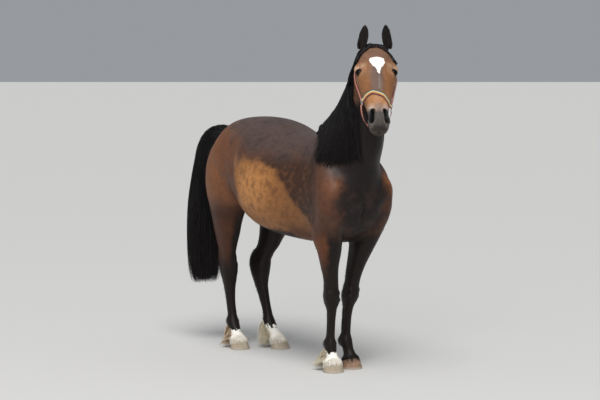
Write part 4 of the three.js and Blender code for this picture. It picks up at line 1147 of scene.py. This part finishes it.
def hair_profile(t):
    return 0.35 + 0.65 * smooth(t, 0, 0.12) - 0.92 * smooth(t, 0.55, 1.0) ** 1.6


path, outward, width, roots = mane_locks(1150, 20, 50, (6, 12), (1.5, 12))
mane = make_locks("mane_locks", path, outward, width, width * 0.36, hair_profile, black_hair, roots)
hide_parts("mane")
path, outward, width, roots = mane_locks(760, 20, 44, (1.6, 3.2), (-1.0, 3))
wisps = make_locks("mane_wisps", path, outward, width, width * 0.6, hair_profile, black_hair, roots)


path, outward, width, roots = mane_locks(1100, 14, 30, (9, 16), (10, 30))
deep_locks = make_locks("mane_under_locks", path, outward, width, width * 0.4, hair_profile, black_hair, roots)

# ------------------------------------------------------------------ forelock
# The forelock comes forward between the ears and parts, one thin half down each side of the brow.
forelock_tree = solid_tree("forelock")
to_head = head_frame.inverted()


def forelock_locks(count, rings, width):
    path, outward, roots = [], [], []
    for i in range(count):
        side = 1 if i % 2 else -1
        off, late = rng.random(), rng.random()
        way = np.array([(side * (4 + 26 * off), -13 + 6 * off), (side * (20 + 30 * off), 8 + 12 * late),
                        (side * (50 + 16 * late), 30 + 20 * late), (side * (84 + 10 * off), 66 + 12 * late),
                        (side * (100 + 12 * off), 92 + 22 * late)])
        at, deep = np.linspace(0, len(way) - 1, rings), 1.5 + 5 * rng.random() ** 1.3
        flat = np.stack([np.interp(at, range(len(way)), way[:, j]) for j in (0, 1)], 1)
        line, away = [], []
        for x, y in flat:
            origin, down = head_frame @ Vector((x, y, 160)), (head_frame.to_3x3() @ Vector((0, 0, -1)))
            hit, face_normal, _, _ = forelock_tree.ray_cast(origin, down)
            if hit is None:
                hit, face_normal, _, _ = forelock_tree.find_nearest(head_frame @ Vector((x, y, 20)))
            line.append(np.array(hit) - np.array(face_normal) * deep)
            away.append(tuple(face_normal))
        path.append(line)
        outward.append(away)
        roots.append(line[0])
    path = np.array(path, float)
    for _ in range(3):
        path[:, 1:-1] = path[:, 1:-1] * 0.5 + (path[:, :-2] + path[:, 2:]) * 0.25
    return path, np.array(outward, float), rng.uniform(*width, count), roots


path, outward, width, roots = forelock_locks(260, 14, (3.5, 7))
forelock = make_locks("forelock_locks", path, outward, width, width * 0.5, hair_profile, black_hair, roots)
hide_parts("forelock")
core = underlayer("forelock_underlayer", "forelock", 3.5, dense_hair, 1)

# ------------------------------------------------------------------ tail
# Long coarse black hair grows all along the dock, arches up from it and hangs clear of the
# hocks, with the ends cut off square.
tail_rows = [  # station, x, y, z, half width, half depth
    [0, 0, 690, 1190, 26, 26], [1, -2, 735, 1222, 34, 32], [2, -28, 790, 1229, 46, 44], [3, -60, 832, 1204, 57, 54],
    [4, -82, 858, 1140, 66, 60], [5, -92, 866, 1050, 72, 64], [6, -102, 872, 930, 82, 70], [7, -108, 876, 790, 92, 76],
    [8, -110, 880, 650, 94, 79], [9, -109, 882, 520, 91, 79], [10, -106, 882, 420, 86, 75], [11, -104, 880, 346, 72, 64]]
tail_size = stations(tail_rows)


def tail_place(station, about, out):
    """A place in the tail: a station down its line, an angle round it and a share of the way out."""
    x, y, z, wide, deep = tail_size(station)
    before, after = tail_size(np.maximum(station - 0.1, 0)), tail_size(np.minimum(station + 0.1, 11))
    way = (after - before)[:3].T
    way /= np.linalg.norm(way, axis=1, keepdims=True)
    sideways = np.array((1.0, 0, 0)) - way * way[:, :1]
    sideways /= np.linalg.norm(sideways, axis=1, keepdims=True)
    outwards = np.cross(way, sideways)
    step = sideways * (np.sin(about) * wide)[:, None] + outwards * (np.cos(about) * deep)[:, None]
    return np.stack([x, y, z], 1) + step * out[:, None], step / np.linalg.norm(step, axis=1, keepdims=True)


def tail_locks(count, rings, width, shell, ragged):
    path, outward, roots = [], [], []
    for i in range(count):
        about, out = rng.uniform(0, 2 * math.pi), shell[0] + (shell[1] - shell[0]) * rng.random() ** 0.7
        start = 3.4 * rng.random() ** 1.3
        end = 11 - abs(rng.normal(0, ragged)) if rng.random() < 0.86 else rng.uniform(8.5, 10.8)
        t = np.linspace(0, 1, rings)
        station = start + (end - start) * t
        reach = 0.25 + (out - 0.25) * smooth(station - start, 0, 1.6)
        sway = rng.normal(0, 0.05) * np.sin(t * rng.uniform(5, 10) + i)
        line, away = tail_place(station, about + sway + rng.normal(0, 0.1) * t, reach * (1 + 0.03 * np.sin(9 * t + i)))
        path.append(line)
        outward.append(away)
        roots.append(line[0])
    return np.array(path), np.array(outward), rng.uniform(*width, count), roots


path, outward, width, roots = tail_locks(1050, 22, (8, 15), (0.70, 0.945), 0.5)
tail = make_locks("tail_locks", path, outward, width, width * 0.34, hair_profile, black_hair, roots)
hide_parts("tail")
path, outward, width, roots = tail_locks(620, 22, (1.8, 3.4), (0.92, 1.13), 0.4)
path[:, :, 1] = np.minimum(path[:, :, 1], 957 - rng.random((len(path), 1)) * 6)
tail_wisps = make_locks("tail_wisps", path, outward, width, width * 0.6, hair_profile, black_hair, roots)


def tail_core_form(share, angle, reach):
    station = share * 10.7
    out = (0.74 - 0.25 * smooth(station, 9.6, 10.7)) * reach
    return tail_place(station, angle, out + 1e-4)[0]


bm = bmesh.new()
loft(bm, 28, 60, tail_core_form)
bmesh.ops.recalc_face_normals(bm, faces=bm.faces)
for v in bm.verts:
    v.co = to_frame(v.co)
core_mesh = bpy.data.meshes.new("tail_underlayer")
bm.to_mesh(core_mesh)
bm.free()
core_mesh.polygons.foreach_set("use_smooth", np.ones(len(core_mesh.polygons), bool))
core_mesh.materials.append(dense_hair)
core = bpy.data.objects.new("tail_underlayer", core_mesh)
bpy.context.scene.collection.objects.link(core)
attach(core, "root")

# ------------------------------------------------------------------ feathers
# Tufts of long cream and rust hair hang from the back of three pasterns, over the heels.
cream_hair = hair_finish("cream_feather_hair", (0.66, 0.57, 0.40), (0.80, 0.74, 0.58), (0.90, 0.86, 0.74), 0.6)
rusty_hair = hair_finish("rusty_feather_hair", (0.42, 0.25, 0.12), (0.72, 0.58, 0.40), (0.86, 0.78, 0.64), 0.6)
for name, feather_hair, highest in (("fore_right", cream_hair, 124), ("hind_right", rusty_hair, 128), ("hind_left", cream_hair, 165)):
    limb = limbs[name]
    rising = limb[1][::-1]
    size = stations(rising)
    sole_front, sole_back, _, sole_x, _ = size(0)
    count, rings = 620, 9
    path, outward, roots = [], [], []
    for i in range(count):
        z, angle = rng.uniform(48, highest), math.pi + rng.normal(0, 0.75)
        front, back, half, x, full = size(z)[:, 0]
        y = (front + back) / 2 - math.cos(angle) * ((back - front) / 2 - 2)
        root = np.array([x + math.sin(angle) * (half - 2), y, z])
        tip = np.array([sole_x[0] + (root[0] - x) * 1.8 + rng.normal(0, 14), (sole_front[0] + sole_back[0]) / 2 + rng.uniform(58, 122), rng.uniform(4, 40)])
        t = np.linspace(0, 1, rings)[:, None]
        line = root + (tip - root) * t + np.array((0, 1, 0.2)) * (16 * np.sin(math.pi * t ** 0.8))
        line += np.array((rng.normal(0, 3), 0, 0)) * np.sin(t * 6)
        path.append(stand(limb, line))
        outward.append(np.tile((0, 1, 0.4), (rings, 1)))
        roots.append(stand(limb, root[None])[0])
    width = rng.uniform(2.5, 5.5, count)
    feather = make_locks("feather_" + name, np.array(path), np.array(outward, float), width, width * 0.6, hair_profile, feather_hair, roots)
    kind, which = name.split("_")
    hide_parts(f"feather_{name}")

# ------------------------------------------------------------------ head collar
# A head collar of flat woven webbing, sewn round two plated rings. The striped noseband sits a little
# askew round the nose and closes with a chin strap; a cheek strap runs up each side to a crown
# strap behind the ears, and a throat strap passes behind the jaw.
strap_wide, strap_deep = 21.0, 2.2


def taut_loop(place, about_x, about_z, second, centre, far):
    """A strap's line: the outline of the skin in a plane across the head, pulled taut."""
    plane = (head_frame @ Matrix.Translation(place) @ Matrix.Rotation(math.radians(about_z), 4, "Z")
             @ Matrix.Rotation(math.radians(about_x), 4, "X"))
    middle, turned, flat = plane @ Vector(centre), plane.to_3x3(), []
    for about in np.linspace(0, 2 * math.pi, 240, endpoint=False):
        way = turned @ (Vector((1, 0, 0)) * math.cos(about) + Vector(second) * math.sin(about))
        hit = skin_tree.ray_cast(middle + way * far, -way, far)[0]
        if hit is None:
            continue
        reach = (hit - middle).length + 0.9
        flat.append(Vector((math.cos(about), math.sin(about))) * reach)
    hull = np.array([flat[i] for i in convex_hull_2d(flat)])
    steps = np.linalg.norm(np.roll(hull, -1, 0) - hull, axis=1)
    along = np.concatenate([[0], np.cumsum(steps)])
    even = np.linspace(0, along[-1], int(along[-1] / 4), endpoint=False)
    hull = np.vstack([hull, hull[:1]])
    points = [np.interp(even, along, hull[:, i]) for i in (0, 1)]
    return np.array([middle + turned @ (Vector((1, 0, 0)) * a + Vector(second) * b) for a, b in zip(*points)])


def between(loop, first, last):
    """The stretch of a loop from its point nearest one place on the head to that nearest another."""
    h = carry(to_head, loop)
    i = int(np.argmin(np.linalg.norm(h - first, axis=1)))
    loop, h = np.roll(loop, -i, 0), np.roll(h, -i, 0)
    j = int(np.argmin(np.linalg.norm(h - last, axis=1)))
    return np.vstack([carry(head_frame, np.array(first)), loop[2:j - 1], carry(head_frame, np.array(last))])


def webbing(name, path, finish, nodes, wide=strap_wide, turned=0):
    """A woven strap lying along a path, flat on the skin or turned partly to the front."""
    for _ in range(3):
        path[1:-1] = path[1:-1] * 0.5 + (path[:-2] + path[2:]) * 0.25
    count = len(path)
    away = np.array([skin_tree.find_nearest(Vector(q))[1] for q in path], float)
    for _ in range(10):
        away[1:-1] = away[1:-1] * 0.5 + (away[:-2] + away[2:]) * 0.25
    to_front = np.array(head_frame.to_3x3().col[2])
    away = away + turned * to_front * smooth(carry(to_head, path)[:, 1:2], 60, 140)
    way = np.gradient(path, axis=0)
    across = np.cross(way, away)
    across /= np.linalg.norm(across, axis=1, keepdims=True)
    down = (carry(to_head, path + across) - carry(to_head, path))[:, 1:2]
    across *= np.sign(down.mean())
    bm = bmesh.new()
    bmesh.ops.create_grid(bm, x_segments=count - 1, y_segments=6, size=0.5)
    spot = np.array([v.co for v in bm.verts])
    i = np.round((spot[:, 0] + 0.5) * (count - 1)).astype(int)
    side = spot[:, 1] * wide
    along = np.concatenate([[0], np.cumsum(np.linalg.norm(np.diff(path, axis=0), axis=1))])[i]
    for v, q in zip(bm.verts, path[i] + across[i] * side[:, None]):
        hit, out, _, _ = skin_tree.find_nearest(Vector(q))
        above = (Vector(q) - hit).dot(out)
        v.co = to_frame(np.array(Vector(q) + out * max(0.0, 0.9 - above)))
    bm.normal_update()
    if sum(f.normal.dot(Vector(away[i[f.verts[0].index]])) for f in bm.faces) < 0:
        bmesh.ops.reverse_faces(bm, faces=bm.faces)
    mesh = bpy.data.meshes.new(name)
    bm.to_mesh(mesh)
    bm.free()
    store(mesh, "weave", "FLOAT2", np.stack([along, side], 1))
    mesh.polygons.foreach_set("use_smooth", np.ones(len(mesh.polygons), bool))
    mesh.materials.append(finish)
    strap = bpy.data.objects.new(name, mesh)
    bpy.context.scene.collection.objects.link(strap)
    thick = strap.modifiers.new("thick", "SOLIDIFY")
    thick.thickness, thick.offset = strap_deep * mm, 1
    soft = strap.modifiers.new("soft", "BEVEL")
    soft.width, soft.segments, soft.limit_method, soft.angle_limit = 0.5 * mm, 2, "ANGLE", math.radians(50)
    fixed_mesh(strap)
    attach(strap, "root")
    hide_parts(*nodes)


def webbing_finish(name, bands, thread):
    cloth = Finish(name)
    where = cloth.add("Attribute", {"attribute_name": "weave"}, 1)
    across = cloth.add("SeparateXYZ", out=1, Vector=where)
    along = cloth.add("SeparateXYZ", out=0, Vector=where)
    band = cloth.add("ValToRGB", {"stops": bands}, Fac=across * (1 / strap_wide) + 0.5)
    warp = cloth.add("Math", {"operation": "SINE"}, _0=across * 5.2)
    weft = cloth.add("Math", {"operation": "SINE"}, _0=along * 3.6 + cloth.add("Math", {"operation": "SINE"}, _0=across * 2.6) * 1.4)
    weave = warp * weft
    dirt = cloth.grain(cloth.place((60, 60, 60)), 1.0, 4)
    edge = cloth.add("Math", {"operation": "ABSOLUTE"}, _0=across)
    sewn = cloth.ramp(edge, 6.9, 7.3) * cloth.ramp(edge, 8.4, 8.0)
    stitch = sewn * cloth.ramp(cloth.add("Math", {"operation": "SINE"}, _0=along * 1.9), -0.2, 0.2)
    tone = cloth.mix(cloth.ramp(weave, -0.6, 0.9) * 0.35 + dirt * 0.25, band, (0.05, 0.03, 0.025))
    tone = cloth.mix(stitch * 0.8, tone, thread)
    bump = cloth.add("Bump", Strength=0.6, Distance=0.0008, Height=weave * 0.5 + stitch * 0.8)
    return cloth.surface(Base_Color=tone, Roughness=0.62 + dirt * 0.25, Normal=bump, Sheen_Weight=0.15)


striped = webbing_finish("striped_webbing", [
    (0.00, (0.030, 0.080, 0.085)), (0.14, (0.035, 0.090, 0.095)), (0.18, (0.62, 0.66, 0.50)), (0.34, (0.78, 0.72, 0.42)),
    (0.40, (0.78, 0.55, 0.17)), (0.56, (0.76, 0.46, 0.10)), (0.60, (0.70, 0.17, 0.04)), (0.74, (0.55, 0.09, 0.03)),
    (0.79, (0.18, 0.018, 0.012)), (1.00, (0.07, 0.010, 0.008))], (0.70, 0.55, 0.25))
# red webbing with dark edges; the lighter band along its middle is a painted highlight
red = webbing_finish("red_webbing_with_painted_highlight", [
    (0.00, (0.13, 0.016, 0.012)), (0.14, (0.22, 0.026, 0.018)), (0.20, (0.70, 0.17, 0.10)), (0.40, (0.84, 0.34, 0.24)),
    (0.62, (0.84, 0.33, 0.23)), (0.80, (0.64, 0.13, 0.07)), (0.86, (0.22, 0.026, 0.018)), (1.00, (0.13, 0.016, 0.012))],
    (0.85, 0.50, 0.38))
ring_places = {"ring_right": (78, 320, -68), "ring_left": (-69, 364, -68)}
nose_loop = taut_loop((0, 305, 5), 36, -18, (0, 0, 1), (0, 0, -75), 165)
right, left = ring_places.values()
webbing("noseband_webbing", between(nose_loop, (79, 320, -55), (-71, 364, -55)), striped, ["noseband"], 25)
chin = np.array([(79, 326, -80), (79, 350, -90), (75, 378, -101), (66, 402, -113), (49, 421, -127), (25, 431, -135), (0, 433, -137),
                 (-24, 428, -134), (-44, 418, -128), (-57, 402, -119), (-64, 386, -102), (-70, 370, -82)], float)
chin = np.stack([np.interp(np.linspace(0, 11, 70), range(12), chin[:, i]) for i in range(3)], 1)
webbing("chin_webbing", carry(head_frame, chin), red, ["chin_strap"], 19, turned=0.5)
crown_loop = taut_loop((0, 120, -80), 4, 0, (0, 1, 0), (0, 0, 0), 260)
webbing("cheek_and_crown_webbing", between(crown_loop, (-71, 352, -68), (79, 308, -68)), red,
        ["cheek_strap_right", "cheek_strap_left", "crown_strap"], turned=0.9)
throat = np.array([(94, 92, -92), (90, 104, -118), (76, 124, -148), (60, 144, -178), (40, 162, -209), (18, 172, -226), (0, 175, -229)], float)
throat = np.vstack([throat, throat[-2::-1] * (-1, 1, 1)])
throat = np.stack([np.interp(np.linspace(0, 12, 110), range(13), throat[:, i]) for i in range(3)], 1)
webbing("throat_webbing", carry(head_frame, throat), red, ["throat_strap"], 18)

plated = Finish("plated_steel")
worn = plated.grain(plated.place((260, 260, 260)), 1.0, 4)
tone = plated.mix(plated.ramp(worn, 0.45, 0.75), (0.66, 0.64, 0.60), (0.36, 0.31, 0.25))
plated_steel = plated.surface(Base_Color=tone, Metallic=1.0, Roughness=0.22 + worn * 0.25)
for name, place in ring_places.items():
    bm = bmesh.new()
    bmesh.ops.create_circle(bm, segments=16, radius=2.5, matrix=Matrix.Translation((14.5, 0, 0)) @ Matrix.Rotation(math.pi / 2, 4, "X"))
    bmesh.ops.spin(bm, geom=bm.verts[:] + bm.edges[:], cent=(0, 0, 0), axis=(0, 0, 1), angle=2 * math.pi, steps=56, use_merge=True)
    bmesh.ops.remove_doubles(bm, verts=bm.verts, dist=1e-3)
    bmesh.ops.recalc_face_normals(bm, faces=bm.faces)
    lie = (head_frame @ Matrix.Translation(place) @ Matrix.Rotation(math.copysign(0.2, place[0]), 4, "Z")
           @ Matrix.Rotation(math.pi / 2, 4, "Y"))
    bmesh.ops.transform(bm, matrix=lie, verts=bm.verts)
    for v in bm.verts:
        v.co = to_frame(v.co)
    ring_mesh = bpy.data.meshes.new(name + "_plated")
    bm.to_mesh(ring_mesh)
    bm.free()
    ring_mesh.polygons.foreach_set("use_smooth", np.ones(len(ring_mesh.polygons), bool))
    ring_mesh.materials.append(plated_steel)
    ring = bpy.data.objects.new(name + "_plated", ring_mesh)
    bpy.context.scene.collection.objects.link(ring)
    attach(ring, "root")
    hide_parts(name)

# ------------------------------------------------------------------ coat fringes
# The short coat stands out from the skin wherever it turns a form: over the coronets, down the backs
# of the limbs, along jaw, belly and chest, and at the edges and insides of the ears.
fringe = Finish("coat_fringe_hair")
# the tufts take the coat colour, painted sheen, highlights and shade included
own = fringe.add("Attribute", {"attribute_name": "coat_and_painted_light"})
fleck = fringe.add("Attribute", {"attribute_name": "tone"}, 2)
shade = 0.72 + fleck * 0.5
tone = fringe.mix(1.0, own, fringe.add("CombineXYZ", X=shade, Y=shade, Z=shade), "MULTIPLY")
fringe_hair = fringe.surface(Base_Color=tone, Roughness=0.55 + fleck * 0.15, Specular_IOR_Level=0.3)

corner = skin_points[triangles]
face_normal = np.cross(corner[:, 1] - corner[:, 0], corner[:, 2] - corner[:, 0])
area = np.linalg.norm(face_normal, axis=1) / 2
face_normal /= np.maximum(area * 2, 1e-9)[:, None]
middle = corner.mean(1)
local = carry(to_head, middle)
on_face = (local[:, 1] > -70) & (np.abs(local[:, 0]) < 140) & (local[:, 2] > -262) & (middle[:, 2] > 1200)


def limb_places(fore):
    """For each face of the skin: how far behind the limb's middle it faces, and whether on a limb."""
    back = np.full(len(middle), -1.0)
    for limb in limbs.values():
        if (limb[1] is fore_rows) == fore:
            mine = (middle[:, 0] * limb[0] > 0) & (middle[:, 2] < 640) & ((middle[:, 1] < -150) if fore else (middle[:, 1] > 250))
            q, tip = unstand(limb, middle[mine]), unstand(limb, middle[mine] + face_normal[mine])
            back[mine] = (tip - q)[:, 1]
    return back


def fringe_piece(name, weight, count, length, flow, stand_off, width=1.5, inward=0.6, over=None):
    """Tufts rooted over the skin by weight. flow is the way the hair lies, stand_off how much it lifts."""
    share = weight * area
    face = rng.choice(len(area), count, p=share / share.sum())
    u, v = np.sqrt(rng.random(count)), rng.random(count)
    place = (corner[face] * np.stack([1 - u, u * (1 - v), u * v], 1)[:, :, None]).sum(1)
    out = face_normal[face]
    lie = flow[face] + rng.normal(0, 0.22, (count, 3))
    lie -= out * (lie * out).sum(1, keepdims=True)
    lie /= np.maximum(np.linalg.norm(lie, axis=1, keepdims=True), 1e-6)
    long = rng.uniform(*length, count)[:, None]
    t = np.linspace(0, 1, 4)[None, :, None]
    lift = stand_off * long[:, None] * t ** 1.4
    path = (place - out * inward)[:, None] + lie[:, None] * long[:, None] * t + out[:, None] * lift
    path[:, :, 2] = np.maximum(path[:, :, 2], 1.0)
    if over:
        for i, j in np.ndindex(path.shape[:2]):
            hit, away, _, _ = over.find_nearest(Vector(path[i, j]))
            clear = (Vector(path[i, j]) - hit).dot(away)
            if clear < 1 + 0.5 * j and (Vector(path[i, j]) - hit).length < 30:
                path[i, j] = np.array(hit + away * (1 + 0.7 * j))
    outward = np.repeat(out[:, None], 4, 1)
    colour, white_edge, _ = markings_and_painted_light(place)
    pale = smooth(white_edge, -2, 3)[:, None]
    colour = colour * (1 - pale) + np.array((0.92, 0.87, 0.77)) * pale
    wide = np.full(count, width) * rng.uniform(0.7, 1.3, count)
    piece = make_locks(name, path, outward, wide, wide * 0.5, lambda t: 1.0 - 0.9 * t ** 1.5, fringe_hair, place)
    per = len(piece.data.vertices) // count
    store(piece.data, "coat_and_painted_light", "FLOAT_COLOR", np.repeat(np.hstack([colour, np.ones((count, 1))]), per, 0))


down = np.tile((0.0, 0.0, -1.0), (len(middle), 1))
rearwards = np.tile((0.0, 0.75, -0.65), (len(middle), 1))
back_fore, back_hind = limb_places(True), limb_places(False)
behind = np.maximum(back_fore, back_hind)
low = middle[:, 2]
fringe_piece("fringe_limbs", np.where((behind > 0.1) & (low > 86) & (low < 560), behind ** 2 * (1 + 2 * (low < 190)), 0),
             5200, (9, 20), down, 0.32)
sock = markings_and_painted_light(middle)[1]
heel_side = np.clip(-behind, -1, 1)
rim = 44 + 14 * heel_side
coronet_band = (low > rim - 2) & (low < rim + 34) & (behind > -1)
hooves = solid_tree(*[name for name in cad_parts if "hoof" in name])
fringe_piece("fringe_coronets", np.where(coronet_band, 1.0, 0) * (1 + 2 * (sock > 0)), 9000, (12, 26), down, 0.08, 2.0, over=hooves)
belly = (face_normal[:, 2] < -0.35) & (low > 640) & (low < 900)
fringe_piece("fringe_belly", np.where(belly, 1.0, 0), 4200, (8, 16), rearwards, 0.30)
chest = (middle[:, 1] < -560) & (low > 720) & (low < 1120) & ~on_face
fringe_piece("fringe_chest", np.where(chest, 0.4 + 0.6 * (np.abs(middle[:, 0]) < 60), 0), 2600, (7, 13), down, 0.14, 1.3)
jaw = on_face & (local[:, 2] < -90) & (local[:, 1] > 20)
jaw_flow = (carry(head_frame, np.tile((0, -0.7, -0.7), (1, 1))) - carry(head_frame, np.zeros((1, 3))))[0]
fringe_piece("fringe_jaw", np.where(jaw, np.clip(-face_normal @ np.array(head_frame.to_3x3().col[2]), 0.05, 1), 0),
             3000, (6, 14), np.tile(jaw_flow, (len(middle), 1)), 0.3, 1.2)
ears = on_face & (local[:, 1] < 26) & (np.abs(local[:, 0]) > 44) & (local[:, 2] - 0.25 * local[:, 1] > -26)
up_ear = np.array((ear_frame(1).to_3x3() @ Vector((0, 0, 1))))
fringe_piece("fringe_ears", np.where(ears, 1.0, 0), 3600, (5, 11), np.tile(up_ear, (len(middle), 1)), 0.22, 1.0)

# ------------------------------------------------------------------ floor, light and camera
# A plain pale floor under soft studio light, seen from the height of a person standing off.
bm = bmesh.new()
bmesh.ops.create_grid(bm, x_segments=2, y_segments=2, size=400)
floor_mesh = bpy.data.meshes.new("floor")
bm.to_mesh(floor_mesh)
bm.free()
floor = bpy.data.objects.new("floor", floor_mesh)
bpy.context.scene.collection.objects.link(floor)
pale_floor = Finish("plain_pale_floor")
floor_mesh.materials.append(pale_floor.surface(Base_Color=(0.62, 0.61, 0.59, 1), Roughness=0.9))

world = bpy.data.worlds.new("studio")
bpy.context.scene.world = world
world.use_nodes = True
world.node_tree.nodes["Background"].inputs["Color"].default_value = (0.86, 0.90, 0.95, 1)
world.node_tree.nodes["Background"].inputs["Strength"].default_value = 0.36
bpy.context.scene.view_settings.view_transform = "Standard"
for name, kind, place, aim, power, size in (
        ("overhead", "SUN", (-0.30, -0.42, 0.86), (0, 0, 0), 2.5, math.radians(35)),
        ("front_right", "AREA", (-5.0, -4.5, 4.2), (0, 0, 0.9), 130, 3.0)):
    lamp = bpy.data.lights.new(name, kind)
    lamp.energy = power
    if kind == "SUN":
        lamp.angle = size
    else:
        lamp.size = size
    light = bpy.data.objects.new(name, lamp)
    light.location = place
    light.rotation_euler = (Vector(place) - Vector(aim)).to_track_quat("Z", "Y").to_euler()
    bpy.context.scene.collection.objects.link(light)

lens = bpy.data.cameras.new("camera")
lens.lens, lens.sensor_width, lens.clip_end = 111.9, 36, 100
camera = bpy.data.objects.new("camera", lens)
camera.location = (-5.5057, -8.5911, 1.71)
camera.rotation_euler = (math.radians(85.402), 0, math.radians(-32.5))
bpy.context.scene.collection.objects.link(camera)
bpy.context.scene.camera = camera
